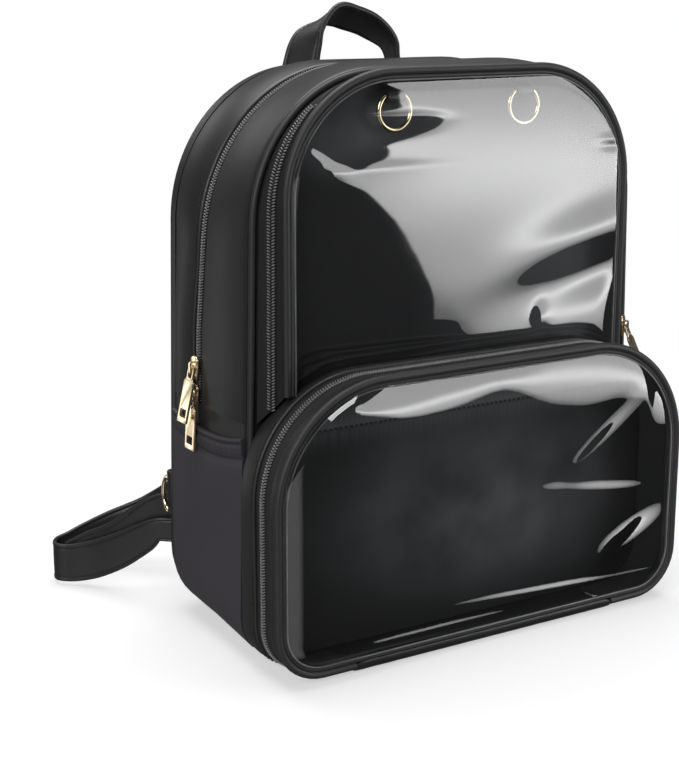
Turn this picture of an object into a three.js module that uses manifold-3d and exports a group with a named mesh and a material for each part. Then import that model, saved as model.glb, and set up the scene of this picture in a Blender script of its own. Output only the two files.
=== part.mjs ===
// Backpack with a clear front window and a clear front pocket, in black faux leather.
// Millimetres, +Z up, the front faces -Y, the floor is Z = 0 and the middle is X = 0.
import * as THREE from 'three';
import { mergeVertices } from 'three/addons/utils/BufferGeometryUtils.js';
import Module from 'manifold-3d';

// Overall sizes: 14 in high, 12 in wide and about 6 in deep
const BAG_HEIGHT = 355.6;
const BAG_WIDTH = 304.8;
const BAG_DEPTH = 156;

// Planes from the back to the front
const BACK_Y = BAG_DEPTH / 2;
const MAIN_ZIP_Y = BACK_Y - 48.5;
const SEAM_Y = BACK_Y - 108;
const WINDOW_Y = SEAM_Y - 14.4;
const POCKET_Y = -BAG_DEPTH / 2;

// Sheet and cord sizes
const WALL = 2;
const GAP = 0.3;
const PVC = 0.8;
const PIPING_RADIUS = 2.4;
const SEAM_PIPING_RADIUS = 2.2;
const COIL_HALF = 3;
const COIL_FOOT = COIL_HALF + 0.6;
const TAPE_INSET = WALL + GAP + 0.1;
const TAPE_UNDERSIDE = TAPE_INSET + 1;
const ZIP_SLOT_HALF = 5.2;
const TAPE_HALF = 9;

// Arched outlines: the main body narrows a little as it rises
const BODY_TAPER = 1.68e-4;
const BODY_SECTIONS = [
  { y: BACK_Y, width: 300.3, top: BAG_HEIGHT - 2, topRadius: 92, bottomRadius: 45 },
  { y: MAIN_ZIP_Y, width: 298, top: BAG_HEIGHT, topRadius: 106, bottomRadius: 38 },
  { y: SEAM_Y, width: 298.4, top: BAG_HEIGHT, topRadius: 87, bottomRadius: 28 },
];
const WINDOW = {
  width: 252.5, bottom: 0, top: 354.4, topRadius: 73, bottomRadius: 20, taper: 0, sideZ: 168,
};
const POCKET = {
  width: BAG_WIDTH, bottom: 0, top: 180.2, topRadius: 72.5, bottomRadius: 30, taper: 0, sideZ: 70,
};

// Heights and places of the seams
const ZIP_END_Z = 150;
const ZIP_LEAN = { shift: 6.5, from: 255, to: 195 };
const BACK_RIM = 12;
const BACK_ROUNDING = [
  { inset: 9, depth: 0, innerInset: 9, innerDepth: WALL },
  { inset: 2.4, depth: 1.4, innerInset: 3.9, innerDepth: 3 },
  { inset: 0.4, depth: 5.5, innerInset: 2.4, innerDepth: 6 },
];
const HEM = { backZ: 139.5, frontZ: 141.5, sag: 6, height: 11, proud: 3.4 };
const WINDOW_ZIP_END = { seamZ: 151, windowZ: 166 };
const WINDOW_CENTRE_Z = 262;
const WINDOW_CROWN = 3;
const SILL_GAP = 1.8;
const POCKET_REAR = { lowZ: 148, highZ: 168, rise: 2 };
const POCKET_ZIP = { rearY: POCKET_Y + 29, frontY: POCKET_Y + 10 };
const POCKET_CENTRE_Z = 92;
const POCKET_CROWN = 8;
const POCKET_RISE = 4.6;
const STRIP_HALF = 100;
const STRIP_LIP = [
  { y: POCKET_Y + 3, z: 0, innerY: POCKET_Y + 4.2, innerZ: WALL },
  { y: POCKET_Y - 1.6, z: 3.4, innerY: POCKET_Y + 0.3, innerZ: 4.2 },
  { y: POCKET_Y - 2, z: 7, innerY: POCKET_Y, innerZ: 7 },
];

// Outline resolution
const CORNER_STEPS = 4;
const ARCH_STEPS = 7;
const PIPING_SIDES = 6;
const WIRE_SIDES = 6;
const FOOT = 1;
const SIDE = FOOT + 1 + CORNER_STEPS + 1;
const CORNER_MIDDLE = FOOT + 1 + CORNER_STEPS / 2;

// Metal sizes
const RING = { x: 48, barZ: 339, y: WINDOW_Y + 7, width: 22, drop: 20, wire: 1.3 };
const TAB = { width: 12, height: 10, wall: 1.6, clearance: 0.5 };
const STRAP_RING = { x: 141, y: BACK_Y + 13, z: 73, halfDepth: 8, halfHeight: 12, wire: 1.5 };
const ANCHOR = { low: 64, high: 92, radius: 4.6, reach: 30, clearance: 0.5 };
const SLIDER = {
  height: 15, width: 9, crown: 2.2, lift: 0.5, bridge: 8, bridgeWidth: 2.4, opening: 2.4, bar: 0.9,
};
const PULL = {
  thickness: 1.4, length: 35, width: 12.5, shoulder: 1.5,
  eyeWidth: 8, eyeLength: 7.2, eyeHole: 4.6, neck: 0.8,
};
const PULL_HOLE = { width: 7.5, height: 5, margin: 3.5 };
const HINGE_OUT = SLIDER.lift + SLIDER.crown + SLIDER.opening / 2;
const PULL_LEAN = { upper: 13, lower: 4, window: 24 };
const MAIN_SLIDERS = { upperZ: 172, lowerZ: 154.5 };
const WINDOW_SLIDER_Z = 181;

// Carrying strap and handle
const STRAP_THICKNESS = 2.4;
const HANDLE = { y: BACK_Y - 8.5, footZ: BAG_HEIGHT + 0.7, width: 26, thickness: 3 };
const HANDLE_ROUTE = [
  { x: -50.5, z: 350, across: [-14, 22, -3] },
  { x: -46.5, z: 365, across: [-10, 22, -2] },
  { x: -41, z: 375, across: [-5, 22, -5] },
  { x: -26, z: 384.5, across: [0, 22, -13] },
  { x: -12, z: 382, across: [5, 22, -15] },
  { x: 2.5, z: 376.5, across: [5, 22, -14] },
  { x: 17, z: 364.5, across: [7, 22, -9] },
  { x: 22, z: 350, across: [7, 22, -1] },
];
const STRAP_ROUTE = [
  { at: [147, 100.5, 46], across: [0, 0, 1], width: 16 },
  { at: [153, 107, 40], across: [0, 0, 1], width: 21 },
  { at: [166, 122, 28], across: [0, 0, 1], width: 25 },
  { at: [179, 138, 19], across: [0, 0, 1], width: 27 },
  { at: [190, 150, 15.2], across: [0, 0, 1], width: 27 },
  { at: [196, 158, 15], across: [0, 0, 1], width: 27 },
  { at: [192, 168, 15.2], across: [0, 0, 1], width: 27 },
  { at: [176, 174, 17], across: [0, 0, 1], width: 27 },
  { at: [150, 170, 26], across: [0, 0.1, 1], width: 27 },
  { at: [122, 156, 39], across: [0.2, 0.3, 1], width: 27 },
  { at: [98, 132, 66], across: [0.7, 0.3, 0.6], width: 27 },
  { at: [84, 110, 112], across: [1, 0.1, 0.2], width: 27 },
  { at: [70, 95, 175], across: [1, 0, 0.1], width: 27 },
  { at: [54, 86, 250], across: [1, 0, 0.1], width: 27 },
  { at: [42, 80.6, 311], across: [1, 0, 0], width: 27 },
];
const STRAP_STEPS = 44;
const HANDLE_STEPS = 24;
const PATCH = { half: 62, low: 315, high: 344, thickness: 2 };

const wasm = await Module();
wasm.setup();

// Helpers for outlines and closed surfaces

const mix = (a, b, t) => a + (b - a) * t;
const clamp01 = (t) => Math.min(1, Math.max(0, t));

// Outline of the main body at one depth
function bodyAt(y) {
  const [back, zip, seam] = BODY_SECTIONS;
  const [a, b] = y > zip.y ? [back, zip] : [zip, seam];
  const t = clamp01((y - a.y) / (b.y - a.y));
  return {
    width: mix(a.width, b.width, t),
    bottom: 0,
    top: mix(a.top, b.top, t),
    topRadius: mix(a.topRadius, b.topRadius, t),
    bottomRadius: mix(a.bottomRadius, b.bottomRadius, t),
    taper: BODY_TAPER,
    sideZ: ZIP_END_Z,
  };
}

// Points of a quarter circle, both ends included
function quarter(centreX, centreZ, radius, startDegrees, steps) {
  return Array.from({ length: steps + 1 }, (_, i) => {
    const angle = THREE.MathUtils.degToRad(startDegrees + (90 * i) / steps);
    return [centreX + radius * Math.cos(angle), centreZ + radius * Math.sin(angle)];
  });
}

// Points of an arched outline, from the bottom middle up the +X side, over the top and round
function rail(shape, inset, sideZ = shape.sideZ) {
  const half = shape.width / 2 - inset;
  const low = shape.bottom + inset;
  const high = shape.top - inset;
  const lowRadius = shape.bottomRadius - inset;
  const highRadius = shape.topRadius - inset;
  const right = [
    [0, low],
    [STRIP_HALF, low],
    ...quarter(half - lowRadius, low + lowRadius, lowRadius, -90, CORNER_STEPS),
    [half, sideZ],
    ...quarter(half - highRadius, high - highRadius, highRadius, 0, ARCH_STEPS),
    [(half - highRadius) / 2, high],
    [0, high],
  ];
  const left = right.slice(1, -1).reverse().map(([x, z]) => [-x, z]);
  return [...right, ...left].map(([x, z]) => [x * (1 - shape.taper * z), z]);
}

// Stretches of an outline
const whole = (points) => points;
const over = (points) => points.slice(SIDE, points.length - SIDE + 1);
const under = (points) => [...points.slice(points.length - SIDE), ...points.slice(0, SIDE + 1)];
const fromFootToFoot = (points) => points.slice(FOOT);

// Rings of a band: a cross-section of inset and depth carried along a stretch of the outline
function bandRings(section, shapeAt, stretch, sideZ) {
  const lines = section.map(({ inset, y, lean }) =>
    stretch(rail(shapeAt(y), inset, sideZ)).map(([x, z]) => [x, lean ? lean(y, z) : y, Math.max(z, 0)]),
  );
  return lines[0].map((_, i) => lines.map((line) => line[i]));
}

// Closed surface through rings with the same number of points, joined end to end or capped by fans
function skin(rings, loop = false) {
  const count = rings[0].length;
  const points = rings.flat();
  const faces = [];
  const spans = loop ? rings.length : rings.length - 1;
  for (let i = 0; i < spans; i += 1) {
    const a = i * count;
    const b = ((i + 1) % rings.length) * count;
    for (let j = 0; j < count; j += 1) {
      const k = (j + 1) % count;
      faces.push([a + j, b + j, b + k], [a + j, b + k, a + k]);
    }
  }
  if (!loop) {
    const last = (rings.length - 1) * count;
    const [firstMiddle, lastMiddle] = [points.length, points.length + 1];
    points.push(middleOf(rings[0]), middleOf(rings.at(-1)));
    for (let j = 0; j < count; j += 1) {
      const k = (j + 1) % count;
      faces.push([firstMiddle, j, k], [lastMiddle, last + k, last + j]);
    }
  }
  return closedGeometry(points, faces);
}

const middleOf = (ring) => [0, 1, 2].map((axis) => ring.reduce((sum, p) => sum + p[axis], 0) / ring.length);

// Indexed geometry whose faces point out
function closedGeometry(points, faces) {
  const volume = faces.reduce((sum, face) => {
    const [a, b, c] = face.map((i) => new THREE.Vector3(...points[i]));
    return sum + a.dot(b.cross(c));
  }, 0);
  const outward = volume < 0 ? faces.map(([a, b, c]) => [a, c, b]) : faces;
  const geometry = new THREE.BufferGeometry();
  geometry.setAttribute('position', new THREE.Float32BufferAttribute(points.flat(), 3));
  geometry.setIndex(outward.flat());
  return geometry;
}

const band = (section, shapeAt, stretch, sideZ) =>
  skin(bandRings(section, shapeAt, stretch, sideZ), stretch === whole);

// Panel: whole outlines stacked by inset and depth, capped at both ends
function panel(profile, shapeAt) {
  return skin(profile.map(({ inset, y }) => rail(shapeAt(y), inset).map(([x, z]) => [x, y, z])));
}

// Round section of a piping, as insets and depths
function roundSection(inset, y, radius, sides) {
  return Array.from({ length: sides }, (_, i) => {
    const angle = (2 * Math.PI * (i + 0.5)) / sides;
    return { inset: inset + radius * Math.cos(angle), y: y + radius * Math.sin(angle) };
  });
}

// Clear sheet: copies of its edge shrunk to the middle, crowned toward the front
function clearSheet(edge, centreZ, y, crown) {
  const scales = [0.25, 0.5, 0.72, 0.88, 0.96, 1];
  const depthAt = (s) => y - crown * (1 - s ** 3);
  const ringAt = (s, back) => edge.map(([x, z]) => [s * x, depthAt(s) + back, mix(centreZ, z, s)]);
  const front = scales.map((s) => ringAt(s, 0));
  const rear = scales.map((s) => ringAt(s, PVC));
  return skin([...front, ...rear.reverse()]);
}

// Flat strap along a route with its own width direction at each row
function ribbon(route, thickness, steps) {
  const path = new THREE.CatmullRomCurve3(route.map(({ at }) => new THREE.Vector3(...at)));
  const turn = new THREE.CatmullRomCurve3(route.map(({ across }) => new THREE.Vector3(...across)));
  const rings = Array.from({ length: steps + 1 }, (_, i) => {
    const t = i / steps;
    const centre = path.getPoint(t);
    const tangent = path.getTangent(t);
    const across = turn.getPoint(t);
    across.addScaledVector(tangent, -across.dot(tangent)).normalize();
    const normal = new THREE.Vector3().crossVectors(tangent, across);
    const row = t * (route.length - 1);
    const first = Math.min(Math.floor(row), route.length - 2);
    const half = mix(route[first].width, route[first + 1].width, row - first) / 2;
    const corners = [[-1, -1], [1, -1], [1, 1], [-1, 1]];
    return corners.map(([u, v]) =>
      centre.clone().addScaledVector(across, u * half).addScaledVector(normal, (v * thickness) / 2).toArray(),
    );
  });
  return skin(rings);
}

// Round wire along a closed flat route
function wireLoop(points, planeNormal, radius, sides) {
  const rings = points.map((p, i) => {
    const before = points.at(i - 1);
    const after = points[(i + 1) % points.length];
    const radial = new THREE.Vector3().subVectors(after, before).cross(planeNormal).normalize();
    return Array.from({ length: sides }, (_, k) => {
      const angle = (2 * Math.PI * k) / sides;
      const spot = p.clone().addScaledVector(radial, radius * Math.cos(angle));
      return spot.addScaledVector(planeNormal, radius * Math.sin(angle)).toArray();
    });
  });
  return skin(rings, true);
}

// Extruded outline whose thickness is centred on its plane
function plate(shape, thickness) {
  const options = { depth: thickness, bevelEnabled: false, curveSegments: 5 };
  const geometry = new THREE.ExtrudeGeometry(shape, options);
  return geometry.translate(0, 0, -thickness / 2);
}

// Turns a plate so that its outline is read in depth and height, and its thickness lies across
const SIDE_ON = new THREE.Matrix4().makeBasis(
  new THREE.Vector3(0, 1, 0),
  new THREE.Vector3(0, 0, 1),
  new THREE.Vector3(1, 0, 0),
);

function shapeFrom(points) {
  return new THREE.Shape(points.map(([x, y]) => new THREE.Vector2(x, y)));
}

const box = (low, high, bottom, top) => [[low, bottom], [high, bottom], [high, top], [low, top]];

// Boolean join or cut of two closed geometries
function toSolid(geometry) {
  const bare = geometry.clone();
  bare.deleteAttribute('normal');
  bare.deleteAttribute('uv');
  const merged = mergeVertices(bare, 1e-4);
  const mesh = new wasm.Mesh({
    numProp: 3,
    vertProperties: new Float32Array(merged.attributes.position.array),
    triVerts: new Uint32Array(merged.index.array),
  });
  return new wasm.Manifold(mesh);
}

function toGeometry(solid) {
  const mesh = solid.getMesh();
  const geometry = new THREE.BufferGeometry();
  geometry.setAttribute('position', new THREE.BufferAttribute(new Float32Array(mesh.vertProperties), 3));
  geometry.setIndex(new THREE.BufferAttribute(new Uint32Array(mesh.triVerts), 1));
  return geometry;
}

const join = (a, b) => toGeometry(toSolid(a).add(toSolid(b)));
const cut = (a, b) => toGeometry(toSolid(a).subtract(toSolid(b)));

// Finishes
const FINISHES = {
  leather: { color: 0x2c2c2e, roughness: 0.48, metalness: 0 },
  sideLeather: { color: 0x323137, roughness: 0.52, metalness: 0 },
  piping: { color: 0x242426, roughness: 0.35, metalness: 0 },
  zip: { color: 0x161617, roughness: 0.75, metalness: 0 },
  clear: { color: 0xd8dce0, roughness: 0.06, metalness: 0, transparent: true, opacity: 0.25 },
  gold: { color: 0xdcc294, roughness: 0.22, metalness: 1 },
};

const bag = new THREE.Group();

function add(name, geometry, finish, parent = bag) {
  const mesh = new THREE.Mesh(geometry, new THREE.MeshStandardMaterial(FINISHES[finish]));
  mesh.name = name;
  parent.add(mesh);
  return mesh;
}

// Main compartment

// The main zip swings back a little toward its lower ends
function zipLean(y, z) {
  return y + ZIP_LEAN.shift * clamp01((ZIP_LEAN.from - z) / (ZIP_LEAN.from - ZIP_LEAN.to));
}

function addShell() {
  const rimY = BACK_Y - BACK_RIM;
  const seamEdge = SEAM_Y + SEAM_PIPING_RADIUS + GAP;
  const bulge = -1.2;
  const fold = 0.8;
  const slotRear = MAIN_ZIP_Y + ZIP_SLOT_HALF;
  const slotFront = MAIN_ZIP_Y - ZIP_SLOT_HALF;

  const rimRow = (inset, depth) => ({ inset, y: BACK_Y - depth });
  const outerRim = BACK_ROUNDING.map((row) => rimRow(row.inset, row.depth));
  const innerRim = BACK_ROUNDING.map((row) => rimRow(row.innerInset, row.innerDepth));
  add('back_panel', panel([
    ...outerRim,
    { inset: 0, y: rimY },
    { inset: WALL, y: rimY },
    ...innerRim.reverse(),
  ], bodyAt), 'leather');

  const rear = [
    { inset: 0, y: rimY - GAP },
    { inset: bulge, y: mix(rimY, slotRear, 0.5), lean: zipLean },
    { inset: 0, y: slotRear + 2, lean: zipLean },
    { inset: fold, y: slotRear, lean: zipLean },
    { inset: WALL, y: slotRear, lean: zipLean },
    { inset: WALL, y: rimY - GAP },
  ];
  add('rear_gusset', band(rear, bodyAt, over), 'leather');

  const middle = [
    { inset: 0, y: seamEdge },
    { inset: bulge, y: mix(seamEdge, slotFront, 0.5) },
    { inset: 0, y: slotFront - 2, lean: zipLean },
    { inset: fold, y: slotFront, lean: zipLean },
    { inset: WALL, y: slotFront, lean: zipLean },
    { inset: WALL, y: seamEdge },
  ];
  add('mid_gusset', band(middle, bodyAt, over), 'leather');

  const coilTop = 1.2;
  add('main_zip', band([
    { inset: TAPE_INSET, y: MAIN_ZIP_Y - TAPE_HALF, lean: zipLean },
    { inset: TAPE_INSET, y: MAIN_ZIP_Y - COIL_FOOT, lean: zipLean },
    { inset: coilTop, y: MAIN_ZIP_Y - COIL_HALF, lean: zipLean },
    { inset: coilTop, y: MAIN_ZIP_Y + COIL_HALF, lean: zipLean },
    { inset: TAPE_INSET, y: MAIN_ZIP_Y + COIL_FOOT, lean: zipLean },
    { inset: TAPE_INSET, y: MAIN_ZIP_Y + TAPE_HALF, lean: zipLean },
    { inset: TAPE_UNDERSIDE, y: MAIN_ZIP_Y + TAPE_HALF, lean: zipLean },
    { inset: TAPE_UNDERSIDE, y: MAIN_ZIP_Y - TAPE_HALF, lean: zipLean },
  ], bodyAt, over), 'zip');

  add('base_gusset', band([
    { inset: 0, y: rimY - GAP },
    { inset: 0, y: MAIN_ZIP_Y },
    { inset: 0, y: seamEdge },
    { inset: WALL, y: seamEdge },
    { inset: WALL, y: MAIN_ZIP_Y },
    { inset: WALL, y: rimY - GAP },
  ], bodyAt, under, ZIP_END_Z - GAP), 'leather');

  const piping = roundSection(SEAM_PIPING_RADIUS, SEAM_Y, SEAM_PIPING_RADIUS, PIPING_SIDES);
  add('seam_piping', band(piping, bodyAt, whole), 'piping');

  const wallInset = 2 * SEAM_PIPING_RADIUS + GAP;
  add('front_wall', panel([
    { inset: wallInset, y: SEAM_Y + WALL / 2 },
    { inset: wallInset, y: SEAM_Y - WALL / 2 },
  ], bodyAt), 'leather');
}

// Height of the slip pockets' mouth, sagging a little between the back and the front seam
const hemAt = (t) => mix(HEM.backZ, HEM.frontZ, t) - HEM.sag * 4 * t * (1 - t);

// Slip pocket on one side: a panel over the lower side with a thicker hem along its mouth
function sidePocket(sign) {
  const rearY = BACK_Y - BACK_RIM - 1;
  const frontY = SEAM_Y + SEAM_PIPING_RADIUS + 2 * GAP;
  const steps = 5;
  const skinThickness = 1.5;
  const columns = Array.from({ length: steps + 1 }, (_, i) => {
    const y = mix(rearY, frontY, i / steps);
    const hemZ = hemAt(i / steps);
    const side = (out, z) => rail(bodyAt(y), -out, z).slice(CORNER_MIDDLE, SIDE + 1);
    const hem = [
      { out: HEM.proud, z: hemZ - HEM.height + 1 },
      { out: HEM.proud, z: hemZ - 1 },
      { out: HEM.proud - 1, z: hemZ },
    ];
    const place = ([x, z]) => [sign * x, y, z];
    const hemLine = (out) => hem.map((row) => side(out ?? row.out, row.z).at(-1));
    return {
      outer: [...side(GAP + skinThickness, hemZ - HEM.height), ...hemLine()].map(place),
      inner: [...side(GAP, hemZ - HEM.height), ...hemLine(GAP)].map(place),
    };
  });
  const levels = columns[0].outer.map((_, k) => [
    ...columns.map(({ outer }) => outer[k]),
    ...columns.map(({ inner }) => inner[k]).reverse(),
  ]);
  return skin(levels);
}

// Window over the upper front

// Rings of the window's zip, which slopes from the front seam out to the window's edge
function windowZipRings() {
  const tapeSeam = over(rail(bodyAt(SEAM_Y), 2 * SEAM_PIPING_RADIUS + 2 * GAP, WINDOW_ZIP_END.seamZ));
  const tapeEdge = over(rail(WINDOW, -1, WINDOW_ZIP_END.windowZ));
  const seamY = SEAM_Y - SEAM_PIPING_RADIUS - 2 * GAP;
  const edgeY = WINDOW_Y + PIPING_RADIUS + 2 * GAP;
  const section = [
    { across: 0, lift: 0 },
    { across: 0.38, lift: 0 },
    { across: 0.41, lift: 1.3 },
    { across: 0.67, lift: 1.3 },
    { across: 0.7, lift: 0 },
    { across: 1, lift: 0 },
    { across: 1, lift: -0.9 },
    { across: 0, lift: -0.9 },
  ];
  const seamLine = tapeSeam.map(([x, z]) => new THREE.Vector3(x, seamY, z));
  const edgeLine = tapeEdge.map(([x, z]) => new THREE.Vector3(x, edgeY, z));
  return seamLine.map((seam, i) => {
    const before = seamLine[Math.max(i - 1, 0)];
    const after = seamLine[Math.min(i + 1, seamLine.length - 1)];
    const along = new THREE.Vector3().subVectors(after, before);
    const width = new THREE.Vector3().subVectors(edgeLine[i], seam);
    const outward = new THREE.Vector3().crossVectors(along, width).normalize();
    if (outward.y > 0) {
      outward.negate();
    }
    return section.map(({ across, lift }) =>
      seam.clone().addScaledVector(width, across).addScaledVector(outward, lift).toArray(),
    );
  });
}

// D-shaped ring: straight bar at the top and a half-round drop
function dRing(sign) {
  const half = RING.width / 2;
  const corner = 2;
  const steps = 10;
  const drop = RING.drop - corner;
  const bar = [[half - corner, 0], [-half + corner, 0]];
  const bow = Array.from({ length: steps + 1 }, (_, i) => {
    const angle = Math.PI + (Math.PI * i) / steps;
    return [half * Math.cos(angle), -corner + drop * Math.sin(angle)];
  });
  const place = ([u, v]) => new THREE.Vector3(sign * RING.x + u, RING.y, RING.barZ + v);
  const points = [...bar, ...bow].map(place);
  return wireLoop(points, new THREE.Vector3(0, 1, 0), RING.wire, WIRE_SIDES);
}

// Leather tab that holds a ring's bar, from the panel behind it; outline in depth and height
function ringTab(sign) {
  const hole = RING.wire + TAB.clearance;
  const outer = hole + TAB.wall;
  const wallY = SEAM_Y - WALL / 2 - GAP;
  const reach = wallY - RING.y;
  const outline = new THREE.Shape();
  outline.moveTo(reach, 0);
  outline.lineTo(reach, TAB.height);
  outline.lineTo(reach - 2, TAB.height);
  outline.lineTo(-outer * 0.6, outer * 0.8);
  outline.absarc(0, 0, outer, Math.PI * 0.7, Math.PI * 1.75, false);
  outline.lineTo(reach, 0);
  const opening = new THREE.Path();
  opening.absarc(0, 0, hole, 0, 2 * Math.PI, true);
  outline.holes.push(opening);
  const geometry = plate(outline, TAB.width).applyMatrix4(SIDE_ON);
  return geometry.translate(sign * RING.x, RING.y, RING.barZ);
}

function addWindow() {
  add('window_zip', skin(windowZipRings()), 'zip');
  const piping = roundSection(0, WINDOW_Y, PIPING_RADIUS, PIPING_SIDES);
  add('window_piping', band(piping, () => WINDOW, over), 'piping');
  const arch = over(rail(WINDOW, PIPING_RADIUS + GAP));
  const sill = rail(POCKET, -SILL_GAP).filter(([, z]) => z > WINDOW.sideZ);
  const edge = [...arch, ...sill.reverse()];
  add('window_pvc', clearSheet(edge, WINDOW_CENTRE_Z, WINDOW_Y, WINDOW_CROWN), 'clear');
  for (const [side, sign] of [['left', -1], ['right', 1]]) {
    add(`ring_tab_${side}`, ringTab(sign), 'leather');
    add(`d_ring_${side}`, dRing(sign), 'gold');
  }
}

// Box pocket over the lower front

// Outline of the pocket at one depth: its lower edge lifts off the floor toward the front
function pocketAt(y) {
  const t = clamp01((POCKET_ZIP.rearY - y) / (POCKET_ZIP.rearY - POCKET_Y));
  return { ...POCKET, bottom: mix(0, POCKET_RISE, t) };
}

// The gusset's rear edge follows the front seam and steps out to the window near the top
function pocketRear(y, z) {
  const { lowZ, highZ, rise } = POCKET_REAR;
  return mix(y, WINDOW_Y + rise, clamp01((z - lowZ) / (highZ - lowZ)));
}

function addPocket() {
  const rearY = SEAM_Y - SEAM_PIPING_RADIUS - GAP;
  const { rearY: zipRear, frontY: zipFront } = POCKET_ZIP;
  const bandFront = POCKET_Y + PIPING_RADIUS + GAP;
  const zipMiddle = (zipRear + zipFront) / 2;

  add('pocket_gusset', band([
    { inset: 0, y: rearY, lean: pocketRear },
    { inset: 0, y: zipRear + 1.5 },
    { inset: 0.8, y: zipRear },
    { inset: WALL, y: zipRear },
    { inset: WALL, y: rearY, lean: pocketRear },
  ], pocketAt, whole), 'leather');

  const coilTop = 0.9;
  const underlap = 2.5;
  add('pocket_zip', band([
    { inset: TAPE_INSET, y: zipRear + underlap },
    { inset: TAPE_INSET, y: zipMiddle + COIL_FOOT },
    { inset: coilTop, y: zipMiddle + COIL_HALF },
    { inset: coilTop, y: zipMiddle - COIL_HALF },
    { inset: TAPE_INSET, y: zipMiddle - COIL_FOOT },
    { inset: TAPE_INSET, y: zipFront - underlap },
    { inset: TAPE_UNDERSIDE, y: zipFront - underlap },
    { inset: TAPE_UNDERSIDE, y: zipRear + underlap },
  ], pocketAt, fromFootToFoot), 'zip');

  add('pocket_front_band', band([
    { inset: 0.6, y: zipFront },
    { inset: 0, y: zipFront - 1.2 },
    { inset: 0, y: bandFront },
    { inset: WALL, y: bandFront },
    { inset: WALL, y: zipFront },
  ], pocketAt, whole), 'leather');

  const strip = shapeFrom([
    [zipRear - GAP, 0],
    ...STRIP_LIP.map(({ y, z }) => [y, z]),
    ...STRIP_LIP.map(({ innerY, innerZ }) => [innerY, innerZ]).reverse(),
    [zipRear - GAP, WALL],
  ]);
  add('pocket_base_strip', plate(strip, 2 * (STRIP_HALF - GAP)).applyMatrix4(SIDE_ON), 'leather');

  const piping = roundSection(0, POCKET_Y, PIPING_RADIUS, PIPING_SIDES);
  add('pocket_piping', band(piping, () => pocketAt(POCKET_Y), fromFootToFoot), 'piping');
  const edge = rail(pocketAt(POCKET_Y), PIPING_RADIUS + GAP);
  add('pocket_pvc', clearSheet(edge, POCKET_CENTRE_Z, POCKET_Y, POCKET_CROWN), 'clear');

  const backInset = TAPE_UNDERSIDE + GAP;
  add('pocket_back', panel([
    { inset: backInset, y: WINDOW_Y + 1.8 },
    { inset: backInset, y: WINDOW_Y },
  ], pocketAt), 'leather');
}

// Carrying pieces

// Grab handle: a twisted strap, trimmed where its feet meet the top
function handleGeometry() {
  const { y, footZ, width, thickness } = HANDLE;
  const route = HANDLE_ROUTE.map(({ x, z, across }) => ({ at: [x, y, z], across, width }));
  const depth = 2 * width;
  const below = new THREE.BoxGeometry(BAG_WIDTH, depth, depth).translate(0, y, footZ - depth / 2);
  return cut(ribbon(route, thickness, HANDLE_STEPS), below);
}

// Leather tab folded round the strap's ring, on the back near a lower corner
function anchorTab(sign, ring) {
  const { low, high, radius, reach, clearance } = ANCHOR;
  const { x, y, wire } = STRAP_RING;
  const loopY = y - STRAP_RING.halfDepth;
  const inner = BACK_Y + GAP;
  const outline = new THREE.Shape();
  outline.moveTo(-x + reach, inner);
  outline.lineTo(-x + reach, inner + WALL);
  outline.lineTo(-x + radius, loopY + radius);
  outline.absarc(-x, loopY, radius, Math.PI * 0.5, Math.PI * 1.5, false);
  outline.lineTo(-x + radius * 0.4, inner);
  const block = plate(outline, high - low).translate(0, 0, (high + low) / 2);
  const channel = ring(wire + clearance);
  const tab = cut(block, channel);
  return sign < 0 ? tab : mirrored(tab);
}

// Mirror image across the middle plane, with its faces turned to point out again
function mirrored(geometry) {
  const flipped = geometry.clone().applyMatrix4(new THREE.Matrix4().makeScale(-1, 1, 1));
  const index = flipped.index.array;
  for (let i = 0; i < index.length; i += 3) {
    [index[i + 1], index[i + 2]] = [index[i + 2], index[i + 1]];
  }
  return flipped;
}

function strapRing(wire) {
  const { x, y, z, halfDepth, halfHeight } = STRAP_RING;
  const steps = 18;
  const points = Array.from({ length: steps }, (_, i) => {
    const angle = (2 * Math.PI * i) / steps;
    return new THREE.Vector3(-x, y + halfDepth * Math.cos(angle), z + halfHeight * Math.sin(angle));
  });
  return wireLoop(points, new THREE.Vector3(1, 0, 0), wire, WIRE_SIDES);
}

function addCarrying() {
  add('handle', handleGeometry(), 'leather');
  for (const [side, sign] of [['left', -1], ['right', 1]]) {
    const route = STRAP_ROUTE.map(({ at, across, width }) => ({
      at: [sign * at[0], at[1], at[2]],
      across: [sign * across[0], across[1], across[2]],
      width,
    }));
    add(`strap_${side}`, ribbon(route, STRAP_THICKNESS, STRAP_STEPS), 'leather');
    const ring = strapRing(STRAP_RING.wire);
    add(`strap_ring_${side}`, sign < 0 ? ring : mirrored(ring), 'gold');
    add(`anchor_tab_${side}`, anchorTab(sign, strapRing), 'leather');
  }
  const patch = plate(shapeFrom(box(-PATCH.half, PATCH.half, PATCH.low, PATCH.high)), PATCH.thickness);
  patch.rotateX(Math.PI / 2).translate(0, BACK_Y + GAP + PATCH.thickness / 2, 0);
  add('strap_patch', patch, 'leather');
}

// Zip hardware in its own frame: out from the zip, across it and up along it

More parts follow.
